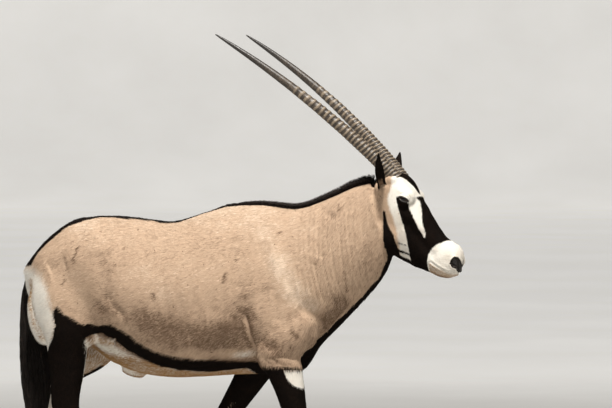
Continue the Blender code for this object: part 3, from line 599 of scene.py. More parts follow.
def wobble(p, scale, seed=0):
    """A smooth random field with no steps, for uneven edges."""
    r = np.random.default_rng(seed)
    out = np.zeros(len(p))
    for _ in range(7):
        k = r.normal(size=3) / scale
        out += np.sin(p @ k + r.uniform(0, 6.28))
    return out / 7 * 1.6


def unturned(p):
    """Takes the head's turn back out of points (in the sizes' own frame)."""
    full = math.radians(HEAD_TURN)
    span = TURN_TO - TURN_FROM
    q = p.copy()
    s = np.clip((p[:, 0] - TURN_FROM) / span, 0, 1)
    angle = full * s
    cx = np.minimum(np.maximum(p[:, 0], TURN_FROM), TURN_TO)
    cy = -full * span * s * s / 2
    # two rounds are enough for so small a turn
    for _ in range(2):
        dx, dy = p[:, 0] - cx, p[:, 1] - cy
        ahead = dx * np.cos(angle) - dy * np.sin(angle)
        beyond = np.where(p[:, 0] <= TURN_FROM, 0.0, ahead)
        inside = (p[:, 0] > TURN_FROM) & (cx + ahead < TURN_TO) & (s < 1)
        cx = np.where(inside, np.clip(cx + ahead, TURN_FROM, TURN_TO), cx)
        s = np.clip((cx - TURN_FROM) / span, 0, 1)
        angle = full * s
        cy = -full * span * s * s / 2
    dx, dy = p[:, 0] - cx, p[:, 1] - cy
    ahead = dx * np.cos(angle) - dy * np.sin(angle)
    side = dx * np.sin(angle) + dy * np.cos(angle)
    on = p[:, 0] > TURN_FROM
    q[:, 0] = np.where(on, cx + ahead, p[:, 0])
    q[:, 1] = np.where(on, side, p[:, 1])
    return q


def top_line(x):
    rows = smooth_rows(TRUNK, 4)
    order = np.argsort(rows[:, 0])
    return np.interp(x, rows[order, 0], rows[order, 1])


def throat_distance(x, z):
    rows = smooth_rows(TRUNK, 4)
    keep = rows[:, 2] > 0.20
    d, along = polyline(x, z, rows[keep][:, 2:4])
    return d, along


# ---------------------------------------------------------------- looks: relief and markings
# lines of the form under the skin: side-view points (x, z), half width, depth (a ridge if less than 0), darkening:
# painted shade along hollows and creases, a painted highlight along ridges if less than 0; the dark tip of the sheath
# is its own colour
RELIEF_AND_PAINTED_SHADE = [
    ([(0.100, 0.806), (0.111, 0.750), (0.122, 0.696), (0.133, 0.643)], 0.0095, 0.0110, 1.10),   # fold behind the elbow
    ([(0.112, 0.745), (0.122, 0.692), (0.131, 0.645)], 0.0060, 0.0, 1.80),
    ([(0.112, 0.815), (0.126, 0.786), (0.134, 0.757)], 0.0150, 0.0040, 0.55),
    ([(0.150, 0.705), (0.185, 0.685), (0.225, 0.672)], 0.0190, 0.0045, 0.70),
    ([(0.271, 0.802), (0.312, 0.792), (0.368, 0.777)], 0.0190, 0.0045, 0.45),   # under the point of the shoulder
    ([(0.281, 0.731), (0.285, 0.721)], 0.0090, 0.0020, 0.80),
    ([(0.336, 0.990), (0.351, 0.941), (0.362, 0.877), (0.380, 0.824)], 0.0110, 0.0030, 0.30),   # neck groove
    ([(0.426, 0.848), (0.396, 0.763), (0.359, 0.682)], 0.0280, 0.0, 0.75),
    ([(0.049, 1.072), (0.071, 1.001), (0.090, 0.930), (0.094, 0.870)], 0.0280, 0.0050, 0.25),   # behind the shoulder blade
    ([(0.154, 1.083), (0.192, 0.990), (0.237, 0.895), (0.266, 0.841)], 0.0240, -0.0045, -0.45),  # its spine
    ([(0.230, 0.976), (0.278, 0.895), (0.330, 0.830)], 0.0260, -0.0035, -0.75),
    ([(0.180, 0.900), (0.215, 0.830), (0.225, 0.760)], 0.0200, 0.0035, 0.20),   # between the shoulder's muscles
    ([(-0.251, 0.763), (-0.139, 0.728), (-0.027, 0.706), (0.067, 0.717)], 0.0420, 0.0015, 1.15),
    ([(-0.451, 1.019), (-0.433, 0.948), (-0.418, 0.877), (-0.399, 0.824)], 0.0360, 0.0060, 0.26),   # before the haunch
    ([(-0.411, 0.848), (-0.373, 0.806), (-0.329, 0.781)], 0.0150, 0.0040, 0.50),
    ([(-0.451, 0.824), (-0.433, 0.809)], 0.0140, 0.0030, 0.70),
    ([(-0.651, 0.941), (-0.614, 0.962), (-0.573, 0.976)], 0.0380, 0.0045, 0.26),   # haunch
    ([(-0.737, 0.900), (-0.725, 0.827), (-0.703, 0.756), (-0.676, 0.699)], 0.0120, 0.0050, 1.50),   # between thigh and buttock
    ([(0.195, 0.639), (0.240, 0.646), (0.285, 0.635)], 0.0050, 0.0035, 0.20),
    ([(0.150, 0.650), (0.190, 0.625), (0.230, 0.618)], 0.0050, 0.0035, 0.30),
    ([(0.392, 1.161), (0.362, 1.072), (0.347, 0.990)], 0.0240, 0.0045, 0.20),
    ([(-0.500, 1.060), (-0.470, 1.030)], 0.0340, -0.0035, -0.20),   # point of the hip
    ([(-0.20, 0.640), (-0.12, 0.626), (0.0, 0.628)], 0.0070, -0.0020, -0.10),
    ([(-0.396, 0.557), (-0.369, 0.557), (-0.344, 0.562)], 0.0085, 0.0, 1.60),   # tip of the sheath
]
# scars and dry rubs: side-view points, half width, darkening, which side
SCARS = [
    ([(-0.529, 1.030), (-0.536, 1.008), (-0.544, 0.990), (-0.540, 0.973)], 0.0040, 1.5, -1),
    ([(-0.585, 0.891), (-0.577, 0.909)], 0.0035, 1.3, -1), ([(-0.357, 1.026), (-0.354, 1.022)], 0.0045, 1.5, -1),
    ([(-0.224, 0.866), (-0.221, 0.845)], 0.0050, 1.8, -1), ([(0.211, 1.086), (0.207, 1.083)], 0.0045, 1.6, -1),
    ([(0.445, 0.948), (0.452, 0.884)], 0.0042, 1.5, -1), ([(0.034, 0.937), (0.030, 0.912)], 0.0062, 1.7, -1),
    ([(0.079, 0.824), (0.087, 0.806)], 0.0060, 1.6, -1), ([(0.296, 0.724), (0.296, 0.721)], 0.0060, 0.9, -1),
    ([(-0.380, 0.966), (-0.377, 0.962)], 0.0035, 1.2, -1), ([(-0.509, 1.061), (-0.502, 1.069)], 0.0030, 1.0, -1),
    ([(0.249, 0.976), (0.253, 0.966)], 0.0035, 1.2, -1), ([(0.312, 0.859), (0.316, 0.856)], 0.0040, 1.2, -1),
    ([(0.064, 0.990), (0.064, 0.983)], 0.0040, 0.9, -1), ([(0.415, 1.186), (0.419, 1.168)], 0.0030, 0.9, -1),
    ([(0.434, 1.061), (0.438, 1.054)], 0.0035, 1.1, -1),
    ([(-0.300, 0.860), (-0.310, 0.830)], 0.0045, 1.4, 1), ([(0.100, 0.960), (0.110, 0.940)], 0.0045, 1.5, 1),
    ([(-0.500, 0.930), (-0.490, 0.900)], 0.0040, 1.3, 1), ([(0.300, 1.000), (0.310, 0.985)], 0.0035, 1.2, 1),
]
RIDGE = {}
NOSTRIL = [(0.8200, 0.978), (0.826, 0.994), (0.838, 1.004), (0.852, 1.002), (0.862, 0.990), (0.8685, 0.974), (0.8705, 0.958),
           (0.868, 0.946), (0.858, 0.942), (0.850, 0.950), (0.843, 0.960), (0.830, 0.964)]
LIPS = [(0.753, 0.984), (0.782, 0.966), (0.812, 0.950), (0.838, 0.944), (0.870, 0.944), (0.90, 0.946)]


def ridge_of(world):
    """The outline of the back as it shows from the side: the highest point at each distance along it."""
    x = world[:, 0] + MIDDLE_X
    edges = np.linspace(-0.84, 0.20, 105)
    mids = (edges[1:] + edges[:-1]) / 2
    which = np.digitize(x, edges) - 1
    high = np.array([world[which == k, 2].max() if np.any(which == k) else 0.9 for k in range(len(mids))])
    high = np.convolve(np.pad(high, 2, mode="edge"), np.ones(5) / 5, mode="valid")
    RIDGE["x"], RIDGE["z"] = mids, high
    RIDGE["lean"] = 1 / np.sqrt(1 + np.gradient(high, mids) ** 2)


def leg_share(p):
    """How near each point is to each limb's centre line: the limb's name, height along it, and offsets."""
    out = {}
    for name, rows in LEGS.items():
        r = smooth_rows(rows, 4)
        side = math.copysign(1, r[0, 1])
        cx = np.interp(p[:, 2], r[::-1, 2], r[::-1, 0])
        cy = np.interp(p[:, 2], r[::-1, 2], r[::-1, 1])
        reach = np.interp(p[:, 2], r[::-1, 2], (r[:, 3] + r[:, 4])[::-1]) / 2
        wide = np.interp(p[:, 2], r[::-1, 2], r[::-1, 5])
        out[name] = ((p[:, 0] - cx) / reach, (p[:, 1] - cy) * side / wide, side)
    return out


def marks(world):
    """Black and white fields over the body: positive inside a marking, in metres, and a darkening field that holds the
    coat's own tones and scars together with painted shade and, below zero, painted highlights.
    """
    p = unturned(world - SHIFT)
    x, y, z = p.T
    ay = np.abs(y)
    n1 = wobble(p, 0.030, 1) * 0.0045 + wobble(p, 0.011, 2) * 0.0022
    n2 = wobble(p, 0.060, 3) * 0.006
    black = np.full(len(p), -0.5)
    white = np.full(len(p), -0.5)

    # ---- spine: thin on the back, broad on the croup, a little wider on the withers and along the mane
    wide = np.interp(x, [-0.82, -0.74, -0.66, -0.56, -0.50, -0.44, -0.20, -0.10, 0.0, 0.20, 0.33, 0.50, 0.60],
                     [0.075, 0.088, 0.090, 0.074, 0.034, 0.013, 0.010, 0.022, 0.030, 0.026, 0.022, 0.022, 0.020])
    up = z - (top_line(x) - 0.075)
    band = np.interp(x, [-0.82, -0.78, -0.74, -0.62, -0.57, -0.53, -0.40, 0.0], [0.004, 0.019, 0.023, 0.020, 0.011, 0.0055, 0.0045, 0.006])
    under = (np.interp(x, RIDGE["x"], RIDGE["z"]) - z) * np.interp(x, RIDGE["x"], RIDGE["lean"])
    edge = np.where((x > -0.80) & (x < 0.02) & (ay < 0.13), band - under, -0.5) + n1 * 0.35
    spine = np.maximum(np.minimum(wide - ay, up), np.minimum(edge, 0.13 - ay)) + n1 * 0.4
    spine = np.where((x > -0.82) & (x < 0.61), spine, -0.5)
    black = np.maximum(black, spine)

    # ---- flank stripe, thigh and upper hind leg
    flank = polygon(x, z, [(-0.640, 0.690), (-0.618, 0.790), (-0.604, 0.824), (-0.575, 0.785), (-0.520, 0.752), (-0.455, 0.748),
                           (-0.401, 0.753), (-0.356, 0.730), (-0.296, 0.699), (-0.251, 0.672), (-0.184, 0.648), (-0.080, 0.630),
                           (0.050, 0.630), (0.115, 0.628), (0.185, 0.598), (0.300, 0.590), (0.330, 0.560), (0.320, 0.500),
                           (0.190, 0.500), (0.165, 0.574), (0.060, 0.592), (-0.040, 0.586), (-0.170, 0.590),
                           (-0.236, 0.608), (-0.296, 0.632), (-0.341, 0.656), (-0.401, 0.697), (-0.446, 0.720), (-0.500, 0.708),
                           (-0.520, 0.660), (-0.640, 0.600)])
    under = ay - np.interp(x, [-0.5, -0.35, -0.1, 0.10, 0.20], [0.075, 0.070, 0.072, 0.070, 0.045])
    flank = np.minimum(flank, np.where(x > -0.46, under, ay - 0.050)) + n1
    black = np.maximum(black, np.where(z > 0.50, flank, -0.5))

    # ---- chest and throat: a stripe along the midline from the jaw, down the chest, between the forelegs
    d, along = throat_distance(x, z)
    throat_w = np.interp(along, [0, 0.15, 0.35, 0.6, 0.8, 0.92, 1.0], [0.085, 0.070, 0.040, 0.026, 0.022, 0.011, 0.004])
    throat = np.minimum(throat_w * 0.85 - d, throat_w - ay) + n1 * 0.7
    throat = np.where((x > 0.18) & (x < 0.66) & (z < 1.10), throat, -0.5)
    black = np.maximum(black, throat)
    chest = np.where((x > 0.10) & (x <= 0.36), np.minimum(0.604 - z, 0.055 - ay) + n1, -0.5)
    black = np.maximum(black, chest)

    # ---- white belly between the stripes
    belly = np.minimum(polygon(x, z, [(-0.48, 0.50), (-0.48, 0.72), (-0.30, 0.640), (0.0, 0.610), (0.12, 0.60), (0.12, 0.50)]),
                       0.15 - ay)
    white = np.maximum(white, belly)
    arm = np.exp(-((x - 0.04) / 0.13) ** 2 - ((z - 0.657) / 0.022) ** 2)
    pit = (0.013 - np.sqrt(((x - 0.084) / 2.8) ** 2 + (z - 0.652 - 0.14 * (x - 0.08)) ** 2) + n1) * 0.55
    white = np.maximum(white, np.where(ay > 0.08, pit, -0.5))
    # ---- white of the buttocks
    rump_in = polygon(x, z, [(-0.90, 0.985), (-0.790, 0.965), (-0.730, 0.955), (-0.684, 0.930), (-0.650, 0.880), (-0.630, 0.830), (-0.616, 0.795),
                             (-0.606, 0.745), (-0.620, 0.705), (-0.650, 0.664), (-0.668, 0.655), (-0.72, 0.66), (-0.90, 0.70)]) + n2 * 0.7
    rump = rump_in * np.interp(z, [0.70, 0.80, 0.95], [0.9, 0.50, 0.22])
    white = np.maximum(white, rump)
    black = np.where((rump_in > 0) & (z > 0.62) & (x < -0.60), np.minimum(black, -rump_in), black)

    # ---- limbs
    for name, (fx, fy, side) in leg_share(p).items():
        fore = "fore" in name
        mine = (y * side > 0.02) & (np.abs(fx) < 2.2) & (np.abs(fy) < 2.4) & (z < ((0.62 if side < 0 else 0.66) if fore else 0.72))
        if fore:
            knee = 0.40
            high = np.minimum((0.612 if side < 0 else 0.650) - z, z - (knee + 0.025)) + n1          # band round the forearm
            inner = -fy - 0.15 + 0.25 * np.minimum(fx, 0)
            band = np.where((inner > 0.35) & (z < 0.47), np.minimum(high, 0.010 - (inner - 0.35) * 0.02), high)
            patch = polygon(fx * 0.06, z, [(0.014, 0.600), (0.015, 0.572), (0.030, 0.546), (0.056, 0.534), (0.066, 0.560), (0.062, 0.600)])
            patch = np.minimum(patch, (0.60 - np.abs(fy - 0.45)) * 0.05)
            band = np.minimum(band, -patch)
            front = np.minimum(np.minimum(fx - 0.30 + 0.02 * np.sin(z * 70), 0.62 - np.abs(fy)) * 0.035,
                               np.minimum(0.345 - z, z - 0.175)) + n1 * 0.6
            pastern = np.minimum(np.minimum(fx + 0.1, 0.9 - np.abs(fy)) * 0.035, 0.105 - z) + n1 * 0.4
            strip = np.minimum(fx + 0.15, 0.75 - np.abs(fy)) * 0.03
            link = np.minimum(strip, np.minimum(z - 0.33, knee + 0.06 - z)) + n1 * 0.5
            leg_black = np.maximum.reduce([band, front, pastern, link])
        else:
            hock = 0.44 if side < 0 else 0.50
            outer = fy + 0.30 + 0.35 * np.maximum(-fx, 0) - 0.55 * np.maximum(fx - 0.40, 0)
            high = np.minimum(0.72 - z, z - (hock - 0.015)) + n1
            band = np.minimum(outer * 0.035, high)
            band = np.where(z > 0.60, np.minimum(band, -rump_in), band)
            band = np.minimum(band, (0.80 - fx) * 0.045)
            front = np.minimum(np.minimum(fx - 0.30, 0.62 - np.abs(fy)) * 0.035,
                               np.minimum(hock - 0.085 - z, z - 0.19)) + n1 * 0.6
            pastern = np.minimum(np.minimum(fx + 0.1, 0.9 - np.abs(fy)) * 0.035, 0.115 - z) + n1 * 0.4
            link = np.minimum(np.minimum(fx + 0.05, 0.55 - np.abs(fy - 0.15)) * 0.03,
                              np.minimum(z - (hock - 0.12), hock + 0.09 - z)) + n1 * 0.5
            leg_black = np.maximum.reduce([band, front, pastern, link])
        above = (z - ((0.60 if side < 0 else 0.64) if fore else 0.70))
        leg_white = np.minimum(0.02, -above)
        black = np.where(mine, np.maximum(np.where(above > 0, black, np.minimum(black, -0.02)), leg_black), black)
        white = np.where(mine, np.maximum(white, leg_white), white)

    # ---- head
    face = (x > 0.56) & (z > 0.86)
    hx = x
    white_face = polygon(hx, z, [(0.600, 1.200), (0.609, 1.165), (0.622, 1.125), (0.634, 1.080), (0.636, 1.050), (0.632, 0.985), (0.690, 0.965),
                                 (0.90, 0.90), (0.92, 1.10), (0.74, 1.30), (0.640, 1.330), (0.612, 1.292), (0.612, 1.262), (0.609, 1.240), (0.603, 1.220)]) + n1 * 0.6
    eye_stripe = polygon(hx, z, [(0.632, 1.212), (0.637, 1.196), (0.645, 1.161), (0.656, 1.120), (0.667, 1.083), (0.672, 1.026),
                                 (0.674, 0.985), (0.672, 0.90), (0.741, 0.90), (0.739, 0.985), (0.744, 1.010), (0.757, 1.031), (0.775, 1.047),
                                 (0.800, 1.058), (0.900, 1.075), (0.84, 1.14), (0.762, 1.090), (0.735, 1.068), (0.730, 1.072), (0.723, 1.086),
                                 (0.711, 1.109), (0.698, 1.141), (0.678, 1.175), (0.680, 1.187), (0.680, 1.199), (0.662, 1.214), (0.646, 1.216)])
    blaze = polygon(hx, z, [(0.698, 1.210), (0.7095, 1.195), (0.717, 1.168), (0.722, 1.129), (0.731, 1.097), (0.736, 1.078), (0.733, 1.060),
                            (0.775, 1.047), (0.800, 1.058), (0.834, 1.072), (0.90, 1.11), (0.76, 1.24), (0.72, 1.226)])
    jaw = polygon(hx, z, [(0.630, 1.006), (0.682, 0.986), (0.722, 0.966), (0.741, 0.958), (0.741, 0.90), (0.60, 0.90), (0.585, 0.99)])
    stripe2 = polygon(hx, z, [(0.583, 1.165), (0.592, 1.160), (0.600, 1.118), (0.621, 1.082), (0.630, 1.040), (0.633, 0.990), (0.620, 0.93),
                              (0.56, 0.84), (0.530, 0.88), (0.556, 0.935), (0.582, 0.990), (0.586, 1.030), (0.582, 1.070), (0.579, 1.120)])
    patch_w = np.interp(z, [1.215, 1.224, 1.236, 1.250, 1.264, 1.30], [-0.008, 0.004, 0.013, 0.019, 0.027, 0.046])
    fore_patch = np.minimum(np.minimum(patch_w - ay, 0.05), x - 0.610)
    fore_patch = np.where(z > 1.21, fore_patch, -0.5)
    line1 = 0.0042 - np.abs(z - (1.0135 - 0.30 * (x - 0.66)))
    line1 = np.where((x > 0.63) & (x < 0.69), line1, -0.5)
    line2 = 0.0014 - np.abs(z - (1.0430 - 0.28 * (x - 0.66)))
    line2 = np.where((x > 0.632) & (x < 0.665), line2, -0.5)
    fb = np.maximum.reduce([eye_stripe, blaze, jaw, stripe2, fore_patch, line1, line2]) + n1 * 0.45
    muzzle_under = np.where((x > 0.741) & (z < 0.99), -0.02, fb)
    fb = np.where(x > 0.741, muzzle_under, fb)
    white = np.where(face & (x > 0.575), np.maximum(white_face, -0.5), white)
    black = np.where(face, np.maximum(np.where(x > 0.66, -0.5, black), fb), black)
    nose = polygon(oblique(p), z, NOSTRIL)
    black = np.where((x > 0.80) & (np.abs(y) > 0.004), np.maximum(black, nose), black)
    # crown between the horns and behind them
    crown = np.where((x > 0.55) & (x < 0.64) & (z > 1.262) & (ay < 0.020), 0.004, -0.5) + n1
    black = np.maximum(black, crown)

    # ---- darker and lighter areas of the fawn coat: its own uneven tone and scars, with painted shade and painted highlights where light falls on the form
    dark = np.zeros(len(p))
    # painted shade low on the trunk, the shoulder and the chest; on the lower flank partly the coat's own dustier tone
    dark += 0.45 * smooth(0.92, 0.68, z) * smooth(-0.56, -0.40, x) * smooth(0.20, 0.0, x)
    dark += 0.35 * smooth(0.86, 0.66, z) * smooth(0.05, 0.20, x) * (z > 0.60)
    # painted shade in the hollows behind and over the elbow
    dark += 0.45 * np.exp(-((x - 0.08) / 0.045) ** 2 - ((z - 0.70) / 0.075) ** 2) * (ay > 0.05)
    dark += 0.30 * np.exp(-((x - 0.20) / 0.08) ** 2 - ((z - 0.66) / 0.05) ** 2) * (ay > 0.05)
    dark -= 0.9 * arm * (ay > 0.05)
    # painted highlight along the top of the back and the withers
    dark -= 0.30 * smooth(1.02, 1.14, z) * smooth(0.3, 0.0, x)
    dark += 0.20 * wobble(p, 0.09, 5) + 0.10 * wobble(p, 0.025, 6)
    # painted shade on the neck below the root of the ear, where the ear's shadow falls
    dark += 0.35 * np.exp(-((x - 0.560) / 0.03) ** 2 - ((z - 1.20) / 0.05) ** 2)
    # painted shade along the relief's hollows and creases, painted highlights along its ridges (the sheath's tip
    # excepted, which is its own dark hair)
    for pts, wide_, deep, tone in RELIEF_AND_PAINTED_SHADE:
        dd, al = polyline(x, z, pts)
        dark += tone * np.exp(-(dd / (wide_ * 1.15)) ** 2) * (ay > 0.04)
    for pts, wide_, tone, s in SCARS:
        dd, _ = polyline(x, z, pts)
        dark += tone * np.exp(-(dd / wide_) ** 4) * (y * s > 0.03)
    # painted shade: the white of the belly, the chin and the inner sides of the thighs is darkened towards ochre as it
    # lies in shade with warm painted bounce light from below, and the flank before the stifle is darkened too
    dark += 1.2 * smooth(0.67, 0.62, z) * (x > -0.50) * (x < 0.16) * (ay < 0.16) * (1 - 0.8 * arm)
    inside = np.where(y < 0, smooth(0.108, 0.085, ay), smooth(0.175, 0.150, ay))
    dark += 1.5 * smooth(0.82, 0.74, z) * (x < -0.36) * (x > -0.72) * inside * (z > 0.46)
    dark += 1.1 * smooth(0.76, 0.70, z) * (x < -0.30) * (x > -0.50) * smooth(0.67, 0.69, z) * (ay < 0.17)
    below = np.interp(x, [q[0] for q in LIPS], [q[1] for q in LIPS]) - z
    dark += 1.5 * (x > 0.745) * smooth(-0.002, 0.007, below)
    dark += 0.45 * np.exp(-((x - 0.605) / 0.022) ** 2 - ((z - 1.225) / 0.030) ** 2)
    return black, white, dark


# ---------------------------------------------------------------- looks: the lie of the coat
def lie(world, normals):
    """The way the hair lies at each point, along the surface."""
    p = unturned(world - SHIFT)
    x, y, z = p.T
    d = np.stack([-np.ones(len(p)), np.zeros(len(p)), np.full(len(p), -0.45)], 1)
    neck = smooth(0.24, 0.40, x) * smooth(0.62, 0.75, z)
    d += neck[:, None] * np.array([0.45, 0, -0.55])
    low = smooth(0.74, 0.60, z)
    d = d * (1 - low[:, None]) + low[:, None] * np.array([-0.12, 0, -1.0])
    belly = smooth(-0.4, -0.8, normals[:, 2]) * smooth(0.50, 0.55, z)
    d = d * (1 - belly[:, None]) + belly[:, None] * np.array([-1.0, 0, 0.0])
    head = (smooth(0.58, 0.63, x) * smooth(0.88, 0.92, z))[:, None]
    front = smooth(0.2, 0.7, normals[:, 0])[:, None]
    face = np.array([0.55, 0, -0.85]) * front + np.array([0.10, 0, -1.0]) * (1 - front)
    d = d * (1 - head) + head * face
    d += 0.16 * np.stack([wobble(p, 0.05, 11), wobble(p, 0.05, 12), wobble(p, 0.05, 13)], 1)
    d -= normals * np.sum(d * normals, 1)[:, None]
    d /= np.linalg.norm(d, axis=1)[:, None] + 1e-9
    return d


# ---------------------------------------------------------------- looks: mesh helpers
def mesh_object(name, co, faces, mats, smooth_shade=True, uv=None, attrs=None, tri=True):
    me = bpy.data.meshes.new(name)
    faces = np.asarray(faces, np.int32)
    k = faces.shape[1]
    me.vertices.add(len(co))
    me.vertices.foreach_set("co", np.asarray(co, np.float32).ravel())
    me.loops.add(faces.size)
    me.loops.foreach_set("vertex_index", faces.ravel())
    me.polygons.add(len(faces))
    me.polygons.foreach_set("loop_start", np.arange(0, faces.size, k, dtype=np.int32))
    me.polygons.foreach_set("use_smooth", np.full(len(faces), smooth_shade))
    if uv is not None:
        layer = me.uv_layers.new(name="OFBake")
        layer.data.foreach_set("uv", np.asarray(uv, np.float32)[faces.ravel()].ravel())
    me.update(calc_edges=True)
    me.validate()
    for key, val in (attrs or {}).items():
        at = me.attributes.new(key, "FLOAT", "POINT")
        at.data.foreach_set("value", np.asarray(val, np.float32))
    o = bpy.data.objects.new(name, me)
    bpy.context.scene.collection.objects.link(o)
    for m in mats if isinstance(mats, (list, tuple)) else [mats]:
        me.materials.append(m)
    return o


def arrays(o):
    me = o.data
    co = np.empty(len(me.vertices) * 3, np.float32)
    me.vertices.foreach_get("co", co)
    no = np.empty(len(me.vertices) * 3, np.float32)
    me.vertex_normals.foreach_get("vector", no)
    return co.reshape(-1, 3).astype(float), no.reshape(-1, 3).astype(float)


def set_co(o, co):
    o.data.vertices.foreach_set("co", np.asarray(co, np.float32).ravel())
    o.data.update()


def add_marks(o):
    co, _ = arrays(o)
    b, w, d = marks(co)
    for key, val in (("black", b), ("white", w), ("dark", d)):
        at = o.data.attributes.get(key) or o.data.attributes.new(key, "FLOAT", "POINT")
        at.data.foreach_set("value", np.clip(val, -0.5, 0.5).astype(np.float32))


# ---------------------------------------------------------------- looks: materials
class Nodes:
    """A short way to write a node material."""

    def __init__(self, name, displaced=False):
        self.mat = bpy.data.materials.new(name)
        self.mat.use_nodes = True
        self.tree = self.mat.node_tree
        self.bsdf = self.tree.nodes["Principled BSDF"]

    def add(self, kind, **settings):
        n = self.tree.nodes.new(kind)
        for k, v in settings.items():
            if k.startswith("in_"):
                key = k[3:]
                n.inputs[int(key) if key.isdigit() else key.replace("_", " ")].default_value = v
            else:
                setattr(n, k, v)
        return n

    def link(self, a, b):
        self.tree.links.new(a, b)

    def maths(self, op, a, b=None, clamp=False):
        n = self.add("ShaderNodeMath", operation=op, use_clamp=clamp)
        for i, v in enumerate((a, b)):
            if v is None:
                continue
            if isinstance(v, (int, float)):
                n.inputs[i].default_value = v
            else:
                self.link(v, n.inputs[i])
        return n.outputs[0]

    def mix(self, fac, a, b, mode="MIX"):
        n = self.add("ShaderNodeMix", data_type="RGBA", blend_type=mode)
        n.clamp_factor = True
        for s, v in ((n.inputs[0], fac), (n.inputs[6], a), (n.inputs[7], b)):
            if isinstance(v, (int, float)):
                s.default_value = v
            elif isinstance(v, tuple):
                s.default_value = (*v, 1)
            else:
                self.link(v, s)
        return n.outputs[2]

    def ramp(self, value, lo, hi):
        n = self.add("ShaderNodeMapRange", interpolation_type="SMOOTHSTEP")
        n.inputs[1].default_value, n.inputs[2].default_value = lo, hi
        self.link(value, n.inputs[0])
        return n.outputs[0]

    def noise(self, vector, scale, detail=3.0, rough=0.55, stretch=None):
        if stretch is not None:
            m = self.add("ShaderNodeMapping")
            m.inputs["Scale"].default_value = stretch
            self.link(vector, m.inputs["Vector"])
            vector = m.outputs[0]
        n = self.add("ShaderNodeTexNoise")
        n.inputs["Scale"].default_value = scale
        n.inputs["Detail"].default_value = detail
        n.inputs["Roughness"].default_value = rough
        self.link(vector, n.inputs["Vector"])
        return n.outputs["Fac"]

    def attribute(self, name):
        return self.add("ShaderNodeAttribute", attribute_name=name).outputs["Fac"]

    def bump(self, height, strength, distance):
        b = self.add("ShaderNodeBump")
        b.inputs["Strength"].default_value = strength
        b.inputs["Distance"].default_value = distance
        self.link(height, b.inputs["Height"])
        self.link(b.outputs[0], self.bsdf.inputs["Normal"])


# TAN_DARK takes both the coat's own darker tones and the painted shade; TAN_PALE both its lighter tones and the painted
# highlights
TAN = (0.520, 0.372, 0.262)
TAN_DARK = (0.170, 0.108, 0.070)
TAN_PALE = (0.690, 0.550, 0.425)
BLACK = (0.0065, 0.0048, 0.0040)
WHITE = (0.800, 0.765, 0.700)


def coat_material(name, tufts=False):
    """Fawn, black and white coat; the markings are fields on the surface, made ragged by noise."""
    m = Nodes(name)
    geo = m.add("ShaderNodeTexCoord").outputs["Object"]
    fine = m.noise(geo, 260.0, 3.0, 0.6, (1.0, 1.0, 0.45))
    rag = m.maths("MULTIPLY", m.maths("SUBTRACT", fine, 0.5), 0.010)
    black = m.ramp(m.maths("ADD", m.attribute("black"), rag), -0.0016, 0.0016)
    white = m.ramp(m.maths("ADD", m.attribute("white"), m.maths("MULTIPLY", rag, 1.4)), -0.005, 0.008)
    blotch = m.noise(geo, 9.0, 4.0, 0.6)
    speck = m.noise(geo, 420.0, 2.0, 0.7)
    mid = m.noise(geo, 38.0, 4.0, 0.65)
    dark = m.maths("ADD", m.attribute("dark"), m.maths("MULTIPLY", m.maths("SUBTRACT", blotch, 0.5), 1.0))
    dark = m.maths("ADD", dark, m.maths("MULTIPLY", m.maths("SUBTRACT", mid, 0.5), 0.9))
    dark = m.maths("ADD", dark, m.maths("MULTIPLY", m.ramp(m.noise(geo, 95.0, 1.0, 0.4), 0.735, 0.79), 0.9))
    dark = m.maths("ADD", dark, m.maths("MULTIPLY", m.maths("SUBTRACT", speck, 0.5), 0.55))
    if tufts:
        dark = m.maths("ADD", dark, m.attribute("vary"))
    # above zero the darkening leads to TAN_DARK (darker fur and painted shade), below zero to TAN_PALE (lighter fur and
    # painted highlights)
    tan = m.mix(m.ramp(dark, 0.05, 1.15), TAN, TAN_DARK)
    tan = m.mix(m.ramp(dark, -0.05, -1.1), tan, TAN_PALE)
    whites = m.mix(m.ramp(blotch, 0.35, 0.75), WHITE, (0.72, 0.655, 0.57))
    # white under painted shade turns ochre: painted shade with warm painted bounce light
    whites = m.mix(m.ramp(dark, 0.30, 1.40), whites, (0.370, 0.215, 0.100))
    brownish = m.maths("MULTIPLY", m.ramp(speck, 0.42, 0.80), m.ramp(mid, 0.35, 0.70))
    blacks = m.mix(brownish, BLACK, (0.020, 0.011, 0.007))
    colour = m.mix(white, tan, whites)
    colour = m.mix(black, colour, blacks)
    if tufts:
        shade = m.maths("ADD", 1.0, m.maths("MULTIPLY", m.attribute("vary"), -0.35))
        n = m.add("ShaderNodeVectorMath", operation="SCALE")
        m.link(colour, n.inputs[0])
        m.link(shade, n.inputs["Scale"])
        colour = n.outputs[0]
    m.link(colour, m.bsdf.inputs["Base Color"])
    m.bsdf.inputs["Roughness"].default_value = 0.70
    m.bsdf.inputs["Specular IOR Level"].default_value = 0.02
    hair = m.noise(geo, 520.0, 2.0, 0.6, (0.35, 1.0, 0.55))
    clump = m.noise(geo, 55.0, 4.0, 0.6, (0.6, 1.0, 0.8))
    height = m.maths("ADD", m.maths("MULTIPLY", hair, 0.55), m.maths("MULTIPLY", clump, 1.0))
    m.bump(height, 0.55 if not tufts else 0.20, 0.005)
    return m.mat


def long_hair_material(name, colour, light):
    m = Nodes(name)
    geo = m.add("ShaderNodeTexCoord").outputs["Object"]
    streak = m.noise(geo, 300.0, 3.0, 0.7, (1.0, 1.0, 0.15))
    c = m.mix(m.ramp(streak, 0.45, 0.85), colour, light)
    m.link(c, m.bsdf.inputs["Base Color"])
    m.bsdf.inputs["Roughness"].default_value = 0.45
    m.bsdf.inputs["Specular IOR Level"].default_value = 0.16
    return m.mat


